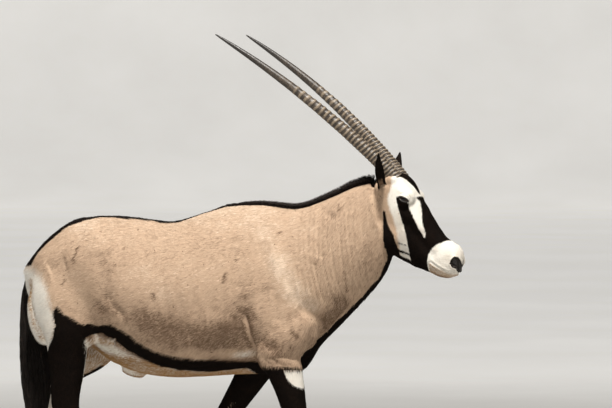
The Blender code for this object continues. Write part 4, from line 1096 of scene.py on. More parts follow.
def horn_material():
    m = Nodes("horn_keratin")
    geo = m.add("ShaderNodeTexCoord").outputs["Object"]
    crest = m.attribute("crest")
    along = m.attribute("along")
    grain = m.noise(geo, 180.0, 4.0, 0.65, (0.5, 1.0, 0.5))
    broad = m.noise(geo, 22.0, 3.0, 0.6)
    c = m.mix(m.ramp(crest, 0.25, 1.0), (0.026, 0.019, 0.014), (0.250, 0.195, 0.138))
    c = m.mix(m.maths("MULTIPLY", m.ramp(grain, 0.40, 0.75), 0.55), c, (0.120, 0.090, 0.065))
    c = m.mix(m.maths("MULTIPLY", m.ramp(broad, 0.45, 0.8), 0.35), c, (0.20, 0.15, 0.11))
    c = m.mix(m.ramp(along, 0.62, 0.92), c, (0.020, 0.016, 0.014))
    m.link(c, m.bsdf.inputs["Base Color"])
    m.link(m.maths("ADD", 0.30, m.maths("MULTIPLY", grain, 0.30)), m.bsdf.inputs["Roughness"])
    fibre = m.noise(geo, 600.0, 3.0, 0.6, (0.25, 1.0, 0.3))
    m.bump(m.maths("ADD", fibre, m.maths("MULTIPLY", grain, 0.6)), 0.45, 0.0012)
    return m.mat


def hoof_material():
    m = Nodes("hoof_keratin")
    geo = m.add("ShaderNodeTexCoord").outputs["Object"]
    rings = m.noise(geo, 90.0, 2.0, 0.5, (0.2, 0.2, 2.6))
    fibre = m.noise(geo, 420.0, 3.0, 0.6, (1.0, 1.0, 0.12))
    c = m.mix(m.ramp(rings, 0.35, 0.75), (0.020, 0.016, 0.014), (0.075, 0.055, 0.042))
    c = m.mix(m.maths("MULTIPLY", m.ramp(fibre, 0.5, 0.8), 0.5), c, (0.13, 0.10, 0.08))
    m.link(c, m.bsdf.inputs["Base Color"])
    m.bsdf.inputs["Roughness"].default_value = 0.42
    m.bump(m.maths("ADD", rings, m.maths("MULTIPLY", fibre, 0.4)), 0.5, 0.0015)
    return m.mat


def eye_material():
    m = Nodes("eye_wet")
    look = m.attribute("iris")
    geo = m.add("ShaderNodeTexCoord").outputs["Object"]
    ray = m.noise(geo, 500.0, 3.0, 0.7)
    iris = m.mix(m.ramp(ray, 0.3, 0.7), (0.006, 0.0035, 0.002), (0.022, 0.010, 0.005))
    c = m.mix(m.ramp(look, 0.0, 0.0012), (0.018, 0.012, 0.010), iris)
    c = m.mix(m.ramp(m.attribute("pupil"), -0.0004, 0.0004), c, (0.003, 0.003, 0.004))
    m.link(c, m.bsdf.inputs["Base Color"])
    m.bsdf.inputs["Roughness"].default_value = 0.10
    m.bsdf.inputs["Specular IOR Level"].default_value = 0.15
    m.bsdf.inputs["Coat Weight"].default_value = 0.35
    m.bsdf.inputs["Coat Roughness"].default_value = 0.02
    return m.mat


def bare_material():
    """Dark bare skin: lids, lips, nostrils."""
    m = Nodes("bare_skin")
    geo = m.add("ShaderNodeTexCoord").outputs["Object"]
    pores = m.noise(geo, 700.0, 3.0, 0.6)
    c = m.mix(m.ramp(pores, 0.35, 0.75), (0.010, 0.008, 0.007), (0.040, 0.030, 0.026))
    m.link(c, m.bsdf.inputs["Base Color"])
    m.bsdf.inputs["Roughness"].default_value = 0.45
    m.bump(pores, 0.4, 0.0006)
    return m.mat


coat_skin = coat_material("coat_skin")
coat_tuft = coat_material("coat_tufts", tufts=True)
black_hair = long_hair_material("long_black_hair", (0.010, 0.008, 0.007), (0.045, 0.030, 0.022))
mane_hair = long_hair_material("mane_hair", (0.012, 0.009, 0.008), (0.060, 0.038, 0.026))
keratin = horn_material()
hoof_mat = hoof_material()
eye_mat = eye_material()
bare = bare_material()


# ---------------------------------------------------------------- looks: the one skin
def build_skin():
    bm = bmesh.new()
    midline_loft(bm, TRUNK, per_span=5, sides=40)
    midline_loft(bm, [(r[0] + 0.005, r[1], r[2] + 0.005, *r[3:]) for r in HEAD], per_span=5, sides=40)
    for rows in LEGS.values():
        limb_loft(bm, rows, per_span=5, sides=28)
    muscles(bm)
    heels(bm)
    for v in bm.verts:
        v.co = turned(v.co)
    skin = object_of("skin", bm, bpy.context.scene.collection)
    mod = skin.modifiers.new("one skin", "REMESH")
    mod.mode, mod.voxel_size = "VOXEL", SKIN_VOXEL * 1.0
    baked(skin)
    relaxed(skin, 4)
    at, _ = arrays(skin)
    plain = np.clip((at[:, 2] - 0.52) / 0.12, 0, 1) * np.clip((0.54 - at[:, 0]) / 0.10, 0, 1)
    relaxed(skin, 40, plain)
    relaxed(skin, 6, np.clip((0.56 - at[:, 2]) / 0.06, 0, 1) * 0.8)
    co, no = arrays(skin)
    # the short coat's depth
    set_co(skin, co - no * COAT)
    skin.data.transform(Matrix.Translation((-MIDDLE_X, 0, 0)))
    # hooves stand under the legs: the skin ends just inside the coronet
    for leg in LEGS:
        fr = hoof_frame(leg)
        top = fr @ Vector((0, 0, CORONET - 0.004))
        top.x -= MIDDLE_X
        out = fr.to_3x3() @ Vector((0, 0, 1))
        bm = bmesh.new()
        bm.from_mesh(skin.data)
        near = [v for v in bm.verts if v.co.z < 0.20 and (v.co - top).length < 0.16]
        keep = set(near)
        geom = near + [e for e in bm.edges if all(v in keep for v in e.verts)] + \
            [f for f in bm.faces if all(v in keep for v in f.verts)]
        bmesh.ops.bisect_plane(bm, geom=geom, dist=1e-6, plane_co=top, plane_no=-out, clear_outer=True)
        edges = [e for e in bm.edges if e.is_boundary]
        if edges:
            bmesh.ops.holes_fill(bm, edges=edges, sides=0)
        bm.to_mesh(skin.data)
        bm.free()
    # finer where the face needs it
    bm = bmesh.new()
    bm.from_mesh(skin.data)
    for level, test in enumerate((
            lambda c: c.x > 0.565 - MIDDLE_X and c.z > 0.90,
            lambda c: min((c - eye_place(s)).length for s in (-1, 1)) < 0.046 or (c.x > 0.775 - MIDDLE_X and c.z > 0.90))):
        edges = [e for e in bm.edges if test((e.verts[0].co + e.verts[1].co) / 2)]
        bmesh.ops.subdivide_edges(bm, edges=edges, cuts=1, use_grid_fill=True, smooth=0.0)
        bmesh.ops.triangulate(bm, faces=[f for f in bm.faces if len(f.verts) > 4])
    bm.to_mesh(skin.data)
    bm.free()
    at, _ = arrays(skin)
    relaxed(skin, 3, np.clip((at[:, 0] - (0.56 - MIDDLE_X)) / 0.02, 0, 1) * (at[:, 2] > 0.9))
    return skin


def eye_place(side):
    return turned(Vector((EYE[0], side * EYE[1], EYE[2])), rigid=True) - Vector((MIDDLE_X, 0, 0))


def head_axes():
    a = math.radians(HEAD_TURN)
    return Vector((math.cos(a), -math.sin(a), 0)), Vector((math.sin(a), math.cos(a), 0))


def lid_line(side, k, n, open_up=0.0070, open_down=0.0072, half=0.0170):
    """A point of the almond opening of the lids, as a direction from the eye's centre."""
    ahead, left = head_axes()
    out = (left * side + ahead * 0.16 + Vector((0, 0, 0.06))).normalized()
    slope = (ahead * 0.90 - Vector((0, 0, 0.36)))
    along = (slope - out * slope.dot(out)).normalized()
    up = out.cross(along).normalized()
    if up.z < 0:
        up.negate()
    t = 2 * math.pi * k / n
    u = math.cos(t) * half
    v = math.sin(t)
    v = v * (open_up if v > 0 else open_down) * (1 - 0.25 * abs(math.cos(t)) ** 3)
    r = EYE_R
    w = math.sqrt(max(r * r - min(u * u + v * v, r * r * 0.93), 0.0))
    return (along * u + up * v + out * w).normalized(), along, up, out


def oblique(p):
    """How far forward a point of the muzzle is, seen from the front quarter of its own side."""
    return p[:, 0] - 0.4244 * (np.abs(p[:, 1]) - 0.025)


def shape_head(skin):
    """Sockets round the eyes, nostrils, the mouth's line and folds of the skin."""
    co, no = arrays(skin)
    p = unturned(co - SHIFT)
    x, y, z = p.T
    move = np.zeros_like(co)
    for pts, wide_, deep, tone in RELIEF_AND_PAINTED_SHADE:
        d, al = polyline(x, z, pts)
        move -= no * (deep * np.exp(-(d / wide_) ** 2) * smooth(0.0, 0.12, al) * smooth(1.0, 0.85, al) * (np.abs(y) > 0.035))[:, None] \
            if len(pts) > 2 else no * (deep * np.exp(-(d / wide_) ** 2) * (np.abs(y) > 0.035))[:, None]
    # wrinkles down the side of the neck
    arc = x + 0.16 * (z - 1.00) - 0.35 * (z - 1.00) ** 2
    neck = smooth(0.22, 0.34, x) * smooth(0.56, 0.48, x) * smooth(0.78, 0.88, z) * smooth(1.20, 1.12, z)
    move += no * ((0.0007 * np.sin(arc * 2 * math.pi / 0.017 + 1.5 * wobble(p, 0.05, 31))
                   + 0.0006 * np.sin(arc * 2 * math.pi / 0.041)) * neck)[:, None]
    # the unevenness of hide over muscle
    bodyish = smooth(0.56, 0.66, z) * (x < 0.52)
    move += no * ((0.0022 * wobble(p, 0.055, 41) + 0.0011 * wobble(p, 0.024, 42)) * bodyish)[:, None]
    # fine creases above the elbow
    for k in range(6):
        a0 = 0.135 + 0.014 * k
        d, al = polyline(x, z, [(a0, 0.668 - 0.006 * k), (a0 + 0.055, 0.634 - 0.004 * k)])
        move -= no * (0.0016 * np.exp(-(d / 0.0035) ** 2) * (np.abs(y) > 0.06))[:, None]
    # ribs, very faint
    ribs = np.sin((x + 0.30 * (z - 0.80)) * 2 * math.pi / 0.052)
    fade = np.exp(-((x + 0.12) / 0.16) ** 2 - ((z - 0.80) / 0.12) ** 2)
    move += no * (0.0007 * ribs * fade)[:, None]
    # veins and unevenness of the face
    face = smooth(0.60, 0.66, x) * (z > 0.9)
    move += no * (0.0010 * wobble(p, 0.016, 21) * face)[:, None]
    # cheek bone: a soft ridge under and before the eye
    d, al = polyline(x, z, [(0.640, 1.172), (0.700, 1.130), (0.742, 1.072)])
    move += no * (0.0045 * np.exp(-(d / 0.014) ** 2) * (np.abs(y) > 0.03) * np.sin(np.pi * np.clip(al, 0.05, 0.95)))[:, None]
    d, al = polyline(x, z, [(0.672, 1.110), (0.715, 1.060), (0.760, 1.010)])
    move -= no * (0.0045 * np.exp(-(d / 0.016) ** 2) * (np.abs(y) > 0.025))[:, None]
    # nostril: a comma cut into the front corner of the muzzle, with a raised wing
    nostril = polygon(oblique(p), z, NOSTRIL)
    lateral = smooth(0.004, 0.009, np.abs(y)) * (x > 0.80)
    sink = smooth(0.0030, 0.0110, nostril) * lateral
    move -= (no * (0.0120 * sink)[:, None])
    rim = np.exp(-((nostril + 0.0010) / 0.0035) ** 2) * lateral
    move += no * (0.0016 * rim)[:, None]
    groove = np.exp(-(y / 0.0022) ** 2) * smooth(0.852, 0.860, x) * smooth(0.955, 0.962, z) * smooth(1.005, 0.995, z)
    move -= no * (0.0022 * groove)[:, None]
    # mouth: a crease from the front of the lips to the corner
    d, al = polyline(x, z, LIPS)
    move -= no * (0.0022 * np.exp(-(d / 0.0028) ** 2) - 0.0012 * np.exp(-((d - 0.007) / 0.004) ** 2))[:, None]
    co = co + move
    # sockets: the skin dips to the eyeball inside the opening and covers it with a lid outside
    for side in (-1, 1):
        c = np.array(eye_place(side))
        ring = [lid_line(side, k, 40) for k in range(40)]
        along, up, out = (np.array(v) for v in ring[0][1:])
        r = co - c
        dist = np.linalg.norm(r, axis=1)
        near = (dist < 0.050) & (r @ out > -0.012)
        u, v, w = r @ along, r @ up, r @ out
        almond = np.sqrt((u / 0.0180) ** 2 + (v / np.where(v > 0, 0.0082, 0.0082)) ** 2)
        lid = EYE_R + 0.0030
        cap = smooth(0.0300, 0.0225, np.sqrt(u * u + v * v))     # where the skin follows the ball
        ball = np.sqrt(np.maximum(lid * lid - u * u - v * v, 0.0))
        want = np.where(almond < 1.0, np.sqrt(np.maximum((EYE_R - 0.0035) ** 2 - u * u - v * v, 0.0)), np.maximum(ball, w * 0 + 0.004))
        inside = near & (cap > 0)
        neww = w * (1 - cap) + want * cap
        neww = np.where(almond < 1.0, np.minimum(neww, want), neww)
        shift = (neww - w)
        shift = np.where(inside, shift, 0)
        # brow above, tear trough before the eye
        brow = 0.0045 * np.exp(-((v - 0.022) / 0.008) ** 2 - (u / 0.022) ** 2) * near
        tear = -0.0035 * np.exp(-((u - 0.027) / 0.008) ** 2 - ((v + 0.004) / 0.005) ** 2) * near
        co = co + out * (shift + brow + tear)[:, None]
    set_co(skin, co)


def settle(skin):
    """Draws the hide smoothly over the muscles of the haunch, the shoulder and the side."""
    co, _ = arrays(skin)
    p = unturned(co - SHIFT)
    x, y, z = p.T
    ay = np.abs(y)
    me = skin.data
    e = np.empty(len(me.edges) * 2, np.int32)
    me.edges.foreach_get("vertices", e)
    a, b = e[::2], e[1::2]
    n = len(co)
    count = np.maximum(np.bincount(a, minlength=n) + np.bincount(b, minlength=n), 1)
    haunch = smooth(-0.76, -0.70, x) * smooth(-0.34, -0.44, x) * smooth(0.70, 0.78, z) * smooth(1.12, 1.06, z) * smooth(0.05, 0.08, ay)
    front = smooth(-0.06, 0.10, x) * smooth(0.46, 0.38, x) * smooth(0.70, 0.78, z) * smooth(1.14, 1.06, z) * smooth(0.05, 0.08, ay)
    side = smooth(-0.46, -0.40, x) * smooth(0.12, 0.04, x) * smooth(0.62, 0.70, z) * smooth(1.10, 1.04, z) * smooth(0.05, 0.08, ay)
    share = np.maximum.reduce([haunch, 0.85 * front, 0.5 * side])[:, None]
    for step in range(70):
        pull = share if step < 34 else share * haunch[:, None]
        mean = np.stack([np.bincount(a, co[b, k], n) + np.bincount(b, co[a, k], n) for k in range(3)], 1) / count[:, None]
        co = co + 0.6 * pull * (mean - co)
    set_co(skin, co)


skin = build_skin()
settle(skin)
shape_head(skin)
ridge_of(arrays(skin)[0])
add_marks(skin)
skin.data.materials.clear()
skin.data.materials.append(coat_skin)
skin.data.materials.append(bare)
skin.data.shade_smooth()


def bare_parts(skin):
    """Nostril linings, the lip's edge and the inside of the sockets take the bare dark skin."""
    co, _ = arrays(skin)
    p = unturned(co - SHIFT)
    x, y, z = p.T
    inside = polygon(oblique(p), z, NOSTRIL)
    dark = (inside > 0.0035) & (x > 0.80)
    # the narrow bare strip between the nostrils and down to the lip
    dark |= (np.abs(y) < 0.0035 + 0.004 * smooth(0.985, 0.960, z)) & (x > 0.850) & (z > 0.948) & (z < 0.992)
    d2, _ = polyline(x, z, LIPS)
    dark |= (d2 < 0.0009) & (x > 0.80)
    for side in (-1, 1):
        c = np.array(eye_place(side))
        along, up, out = (np.array(v) for v in lid_line(side, 0, 40)[1:])
        r = co - c
        u, v, w = r @ along, r @ up, r @ out
        almond = np.sqrt((u / 0.0195) ** 2 + (v / 0.0098) ** 2)
        dark |= (almond < 1.0) & (np.linalg.norm(r, axis=1) < 0.032) & (w > -0.01)
    me = skin.data
    n = len(me.polygons)
    for f in me.polygons:
        vs = f.vertices
        if dark[vs[0]] and dark[vs[1]] and dark[vs[2]]:
            f.material_index = 1


bare_parts(skin)
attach(skin, "root")
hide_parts("head", "neck", "trunk", "leg_left_fore", "leg_right_fore", "leg_left_hind", "leg_right_hind")


# ---------------------------------------------------------------- looks: horns, hooves, eyes, ears
def placed(o):
    o.data.transform(Matrix.Translation((-MIDDLE_X, 0, 0)))
    return o


def fine_horn(side, name):
    """Annulated for three fifths of its length, rings oblique and worn at the back, then smooth to the tip."""
    levels, around = ((400, 30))
    verts, crest_at, along_at = [], [], []
    count = 27.0
    for k in range(levels):
        t = -0.035 + 1.035 * (k / (levels - 1)) ** 1.12
        at = horn_line(max(t, 0.0), side)
        along = (horn_line(max(t, 0) + 0.01, side) - horn_line(max(t, 0), side)).normalized()
        if t < 0:
            at = at + along * (t * 0.9)
        out = (Vector((0, 1, 0)) - along * along.y).normalized()
        up = out.cross(along)
        base = horn_radius(max(t, 0.0)) * (0.985 if t < 0.62 else 0.99)
        if k == levels - 1:
            base = 0.0004
        for i in range(around):
            a = 2 * math.pi * i / around
            s = t + 0.0045 * math.sin(a) * (1 - t)
            share = min(s / 0.62, 1.0)
            phase = count * (1.55 * share - 0.55 * max(share, 0.0) ** 1.7)
            share = max(share, 0.0)
            wave = 0.5 + 0.5 * math.cos(2 * math.pi * (phase + 0.06 * math.sin(2 * a + phase)))
            wave = wave ** 1.25
            fade = min(1.0, max(0.0, (0.64 - s) / 0.12)) * min(1.0, max(0.0, (s + 0.045) / 0.02))
            worn = 0.72 + 0.28 * math.sin(a)
            amp = (0.085 + 0.055 * (1 - share)) * fade * worn
            r = base * (1 + amp * (wave - 0.55)) + 0.0003 * math.sin(7 * a + 40 * t) * fade
            verts.append(at + (out * math.cos(a) * 0.94 + up * math.sin(a)) * r)
            crest_at.append(wave * fade)
            along_at.append(t)
    n = around
    faces = [(k * n + i, k * n + (i + 1) % n, (k + 1) * n + (i + 1) % n, (k + 1) * n + i)
             for k in range(levels - 1) for i in range(n)]
    me = bpy.data.meshes.new(name)
    me.from_pydata(verts, [], faces + [tuple(reversed(range(n))), tuple(range((levels - 1) * n, levels * n))])
    bm = bmesh.new()
    bm.from_mesh(me)
    bmesh.ops.recalc_face_normals(bm, faces=bm.faces)
    if bm.calc_volume(signed=True) < 0:
        bmesh.ops.reverse_faces(bm, faces=bm.faces)
    bm.to_mesh(me)
    bm.free()
    for key, val in (("crest", crest_at), ("along", along_at)):
        at = me.attributes.new(key, "FLOAT", "POINT")
        at.data.foreach_set("value", np.array(val, np.float32))
    me.shade_smooth()
    me.materials.append(keratin)
    o = bpy.data.objects.new(name, me)
    bpy.context.scene.collection.objects.link(o)
    return placed(o)


def fine_eye(side, name):
    """The ball, a little fuller over the iris, with a brown iris and a level pupil."""
    bm = bmesh.new()
    bmesh.ops.create_uvsphere(bm, u_segments=64, v_segments=40, radius=1.0, matrix=Matrix.Rotation(math.radians(90), 4, "X"))
    c = eye_place(side)
    _, along, up, out = lid_line(side, 0, 40)
    ahead, left = head_axes()
    level = (ahead - out * ahead.dot(out)).normalized()
    rise = out.cross(level).normalized()
    iris, pupil = [], []
    for v in bm.verts:
        d = v.co.normalized()
        u, w = d.dot(level) * EYE_R, d.dot(rise) * EYE_R
        front = d.dot(out) > 0
        r = math.hypot(u, w)
        bulge = 0.0010 * math.exp(-(r / 0.009) ** 2) if front else 0.0
        iris.append(0.0135 - r if front else -0.01)
        pupil.append((1 - math.sqrt((u / 0.0075) ** 2 + (w / 0.0036) ** 2)) * 0.004 if front else -0.01)
        v.co = c + d * (EYE_R * 0.985 + bulge)
    o = object_of(name, bm, bpy.context.scene.collection)
    for key, val in (("iris", iris), ("pupil", pupil)):
        at = o.data.attributes.new(key, "FLOAT", "POINT")
        at.data.foreach_set("value", np.array(val, np.float32))
    o.data.materials.append(eye_mat)
    return o


def tube(name, points, radii, mat, around=10, closed=True):
    n = len(points)
    verts, faces = [], []
    for k in range(n):
        a, b = points[(k - 1) % n if closed else max(k - 1, 0)], points[(k + 1) % n if closed else min(k + 1, n - 1)]
        along = (b - a).normalized()
        ref = Vector((0, 0, 1)) if abs(along.z) < 0.9 else Vector((1, 0, 0))
        u = along.cross(ref).normalized()
        v = along.cross(u)
        for i in range(around):
            t = 2 * math.pi * i / around
            verts.append(points[k] + (u * math.cos(t) + v * math.sin(t)) * radii[k])
    # frames can flip round a loop, so every ring is matched to the one before
    pts = np.array(verts).reshape(n, around, 3)
    for k in range(1, n):
        best = min(range(around), key=lambda s: np.sum((np.roll(pts[k], s, 0) - pts[k - 1]) ** 2))
        flip = np.roll(pts[k][::-1], 0, 0)
        best2 = min(range(around), key=lambda s: np.sum((np.roll(flip, s, 0) - pts[k - 1]) ** 2))
        one, two = np.roll(pts[k], best, 0), np.roll(flip, best2, 0)
        pts[k] = one if np.sum((one - pts[k - 1]) ** 2) <= np.sum((two - pts[k - 1]) ** 2) else two
    last = n if closed else n - 1
    shift = 0
    if closed:
        shift = min(range(around), key=lambda s: np.sum((np.roll(pts[0], s, 0) - pts[-1]) ** 2))
    for k in range(last):
        j = (k + 1) % n
        off = shift if (closed and j == 0) else 0
        for i in range(around):
            i2 = (i + 1) % around
            faces.append((k * around + i, k * around + i2, j * around + (i2 - off) % around, j * around + (i - off) % around))
    me = bpy.data.meshes.new(name)
    ends = [] if closed else [tuple(range(around)), tuple(range((n - 1) * around, n * around))]
    me.from_pydata([tuple(p) for p in pts.reshape(-1, 3)], [], faces + ends)
    bm = bmesh.new()
    bm.from_mesh(me)
    o = object_of(name, bm, bpy.context.scene.collection)
    o.data.materials.append(mat)
    return o


def lids(side, word):
    c = eye_place(side)
    n = 72
    ring, radii = [], []
    for k in range(n):
        d = lid_line(side, k, n)[0]
        t = 2 * math.pi * k / n
        upper = max(0.0, math.sin(t))
        ring.append(c + d * (EYE_R + 0.0011))
        radii.append(0.0017 + 0.0009 * upper ** 0.5)
    return tube("lids_" + word, ring, radii, bare)


def fine_ear(side, name):
    rows, cols = ((46, 26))
    o = ear(side, name, bpy.context.scene.collection, rows=rows, cols=cols)
    co, no = arrays(o)
    if side < 0:
        # the near ear is folded more tightly
        mid = co.reshape(rows, 2 * cols, 3).mean(axis=1, keepdims=True)
        pinch = np.linspace(1.0, 0.74, 6).tolist() + [0.74] * (rows - 6)
        co = (mid + (co.reshape(rows, 2 * cols, 3) - mid) * np.array(pinch)[:, None, None]).reshape(-1, 3)
    set_co(o, co - no * 0.0009)
    idx = np.arange(len(co))
    u = (idx // (2 * cols)) / (rows - 1)
    k = idx % (2 * cols)
    v = np.where(k < cols, -1 + 2 * k / (cols - 1), 1 - 2 * (k - cols) / (cols - 1))
    inner = k < cols
    rim = np.abs(v)
    # the inner face is painted black and dark over most of its area: painted shade of the ear's hollow, besides its own
    # dark rim
    black = np.where(inner, np.maximum((rim - 0.45) * 0.03, (u - 0.16) * 0.05), np.maximum((u - 0.40) * 0.07, (rim - 0.80) * 0.03 + (u - 0.3) * 0.02))
    white = np.where(inner, -0.02, -0.02)
    dark = np.where(inner, 1.4, 0.30 + 0.8 * u)
    for key, val in (("black", black), ("white", white), ("dark", dark)):
        at = o.data.attributes.new(key, "FLOAT", "POINT")
        at.data.foreach_set("value", val.astype(np.float32))
    o.data.materials.clear()
    o.data.materials.append(coat_skin)
    return placed(o)


for side, word in ((-1, "right"), (1, "left")):
    h = fine_horn(side, "horn_fine_" + word)
    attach(h, "root")
    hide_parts("horn_" + word)
    e = fine_eye(side, "eyeball_" + word)
    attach(e, "root")
    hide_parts("eye_" + word)
    l = lids(side, word)
    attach(l, "root")
    r = fine_ear(side, "ear_fine_" + word)
    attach(r, "root")
    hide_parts("ear_" + word)
for leg in LEGS:
    for inner in (False, True):
        node = "hoof_%s_%s_%s" % (leg.split("_")[0], leg.split("_")[1], "inner" if inner else "outer")
        o = placed(claw(leg, inner, "claw_%s_%s" % (leg, "inner" if inner else "outer"), bpy.context.scene.collection,
                        sides=56, levels=16))
        o.data.shade_smooth()
        o.data.set_sharp_from_angle(angle=math.radians(42))
        o.data.materials.append(hoof_mat)
        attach(o, "root")
        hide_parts(node)


# ---------------------------------------------------------------- looks: tufts
AXES = {"trunk": ((-0.82, 0, 0.90), (0.34, 0, 0.88)), "neck": ((0.24, 0, 0.93), (0.62, 0, 1.14)),
        "head": ((0.55, 0, 1.24), (0.88, 0, 0.95))}


def unwrap(world, kind):
    """A rolled-out map of the part's own skin: along its axis and round it."""
    p = unturned(world - SHIFT)
    if kind in AXES:
        a, b = (np.array(v, float) for v in AXES[kind])
        along = (b - a) / np.linalg.norm(b - a)
        u = ((p - a) @ along) / np.linalg.norm(b - a)
        off = p - a - np.outer((p - a) @ along, along)
        up = np.cross(np.array([0, 1.0, 0]), along)
        v = np.arctan2(off[:, 1], -(off @ up)) / (2 * math.pi) + 0.5
    else:
        rows = smooth_rows(LEGS[kind], 4)
        cx = np.interp(p[:, 2], rows[::-1, 2], rows[::-1, 0])
        cy = np.interp(p[:, 2], rows[::-1, 2], rows[::-1, 1])
        u = p[:, 2] / 0.80
        v = np.arctan2(p[:, 1] - cy, p[:, 0] - cx) / (2 * math.pi) + 0.5
    return np.stack([0.01 + 0.98 * np.clip(u, 0, 1), 0.01 + 0.98 * np.clip(v, 0, 1)], 1)


def sample(o, density, cap):
    """Points spread over a mesh, so many to the square metre at each place."""
    me = o.data
    me.calc_loop_triangles()
    tri = np.empty(len(me.loop_triangles) * 3, np.int32)
    me.loop_triangles.foreach_get("vertices", tri)
    tri = tri.reshape(-1, 3)
    co, no = arrays(o)
    a, b, c = co[tri[:, 0]], co[tri[:, 1]], co[tri[:, 2]]
    area = np.linalg.norm(np.cross(b - a, c - a), axis=1) / 2
    expect = area * density((a + b + c) / 3, (no[tri[:, 0]] + no[tri[:, 1]] + no[tri[:, 2]]) / 3)
    total = expect.sum()
    n = int(min(cap, total))
    pick = np.searchsorted(np.cumsum(expect) / total, (np.arange(n) + rng.random(n)) / n)
    pick = np.minimum(pick, len(tri) - 1)
    r1, r2 = np.sqrt(rng.random(n)), rng.random(n)
    w = np.stack([1 - r1, r1 * (1 - r2), r1 * r2], 1)[:, :, None]
    t = tri[pick]
    p = (co[t] * w).sum(1)
    m = (no[t] * w).sum(1)
    m /= np.linalg.norm(m, axis=1)[:, None] + 1e-9
    return p, m


def unit(v):
    return v / (np.linalg.norm(v, axis=1)[:, None] + 1e-9)


TET = np.array([[0, 2, 1], [0, 1, 3], [1, 2, 3], [2, 0, 3]])


def lay_tufts(name, p, n, d, length, width, lift, kind, mat, values):
    """Thin closed tufts lying along the body, root under the skin and tip just clear of it."""
    count = len(p)
    if not count:
        return None
    s = unit(np.cross(d, n))
    root = p - n * 0.0007
    co = np.stack([root + s * (width / 2)[:, None], root - s * (width / 2)[:, None],
                   root + n * (0.0007 + width * 0.30)[:, None] + d * (length * 0.22)[:, None],
                   p + d * (length * np.cos(lift))[:, None] + n * (length * np.sin(lift))[:, None]], 1)
    normal = np.stack([unit(n + s * 0.40), unit(n - s * 0.40), unit(n + d * 0.05), unit(n - d * 0.10)], 1)
    uv0 = unwrap(p, kind)
    off = np.array([[-0.0015, -0.0015], [0.0015, -0.0015], [0.0, 0.0], [0.0, 0.0015]])
    uv = uv0[:, None, :] + off[None]
    faces = (TET[None] + (np.arange(count) * 4)[:, None, None]).reshape(-1, 3)
    o = mesh_object(name, co.reshape(-1, 3), faces, mat, uv=uv.reshape(-1, 2),
                    attrs={k: np.repeat(v, 4) for k, v in values.items()})
    o.data.normals_split_custom_set_from_vertices(normal.reshape(-1, 3).astype(np.float32))
    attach(o, "root")
    return o


def lay_strands(name, p, d0, d1, length, width, segs, kind, mat, values=None, flat=0.6):
    """Long hair: closed three-sided strands that bend from one direction to another."""
    count = len(p)
    side = unit(np.cross(d0, d1 + np.array([0.013, 0.371, 0.029])))
    rings = []
    mid = p + d0 * (length * 0.5)[:, None]
    end = mid + d1 * (length * 0.5)[:, None]
    for k in range(segs):
        t = k / segs
        q = (1 - t) ** 2 * p[:, None] if False else None
        at = (1 - t) ** 2 * p + 2 * t * (1 - t) * mid + t * t * end
        tan = unit((1 - t) * d0 + t * d1)
        s = unit(side - tan * np.sum(side * tan, 1)[:, None])
        up = np.cross(s, tan)
        w = (width * (1 - 0.75 * t) / 2)[:, None]
        rings += [at + s * w, at - s * w, at + up * w * 2 * flat]
    rings.append(end)
    co = np.stack(rings, 1)
    per = 3 * segs + 1
    f = [[0, 1, 2]]
    for k in range(segs - 1):
        a, b = 3 * k, 3 * k + 3
        for i in range(3):
            j = (i + 1) % 3
            f += [[a + i, b + i, b + j], [a + i, b + j, a + j]]
    a = 3 * (segs - 1)
    f += [[a, per - 1, a + 1], [a + 1, per - 1, a + 2], [a + 2, per - 1, a]]
    f = np.array(f)
    # outward faces: checked on the first strand by its signed volume
    c0 = co[0]
    vol = sum(np.dot(c0[i], np.cross(c0[j], c0[k])) for i, j, k in f - 0)
    mid0 = c0.mean(0)
    vol = sum(np.dot(c0[i] - mid0, np.cross(c0[j] - mid0, c0[k] - mid0)) for i, j, k in f)
    if vol < 0:
        f = f[:, ::-1]
    faces = (f[None] + (np.arange(count) * per)[:, None, None]).reshape(-1, 3)
    uv0 = unwrap(p, kind) if kind != "tail" else np.stack(
        [0.02 + 0.96 * np.clip((p[:, 2] - 0.3) / 0.75, 0, 1),
         0.5 + 0.48 * np.arctan2(p[:, 1], p[:, 0] + 0.768 + MIDDLE_X) / math.pi], 1)
    ramp = np.linspace(-0.0015, 0.0015, per)
    uv = uv0[:, None, :] + np.stack([np.sin(np.arange(per) * 2.1) * 0.0012, ramp], 1)[None]
    o = mesh_object(name, co.reshape(-1, 3), faces, mat, uv=uv.reshape(-1, 2),
                    attrs={k: np.repeat(v, per) for k, v in (values or {}).items()})
    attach(o, "root")
    return o


def in_head(p):
    return (p[:, 0] > 0.575) & (p[:, 2] > 0.88)


def hair_density(mid, n):
    p = unturned(mid - SHIFT)
    x, y, z = p.T
    ay = np.abs(y)
    d = np.full(len(p), 62000.0)
    d = np.where(x > 0.27, 80000.0, d)
    d = np.where(z < 0.60, 78000.0, d)
    d = np.where((x > 0.575) & (z > 0.88), 300000.0, d)
    d = np.where((x > 0.78) & (z > 0.88), 360000.0, d)
    # denser where the coat breaks the form: belly, throat, buttock, backs of the legs
    d *= 1 + 0.5 * smooth(-0.5, -0.9, n[:, 2]) * (z > 0.5)
    d *= 1 + 0.5 * smooth(-0.72, -0.78, x)
    # none on the bare parts
    d = np.where((polygon(oblique(p), z, NOSTRIL) > -0.0022) & (x > 0.8), 0, d)
    d = np.where((ay < 0.009) & (x > 0.848) & (z < 0.995) & (z > 0.945), 0, d)
    d = np.where((polyline(x, z, LIPS)[0] < 0.003) & (x > 0.755), 0, d)
    for side in (-1, 1):
        c = np.array(eye_place(side))
        along, up, out = (np.array(v) for v in lid_line(side, 0, 40)[1:])
        r = mid - c
        almond = np.sqrt((r @ along / 0.0235) ** 2 + (r @ up / 0.0145) ** 2)
        d = np.where((almond < 1.0) & (np.linalg.norm(r, axis=1) < 0.035), 0, d)
    return d * 1.0


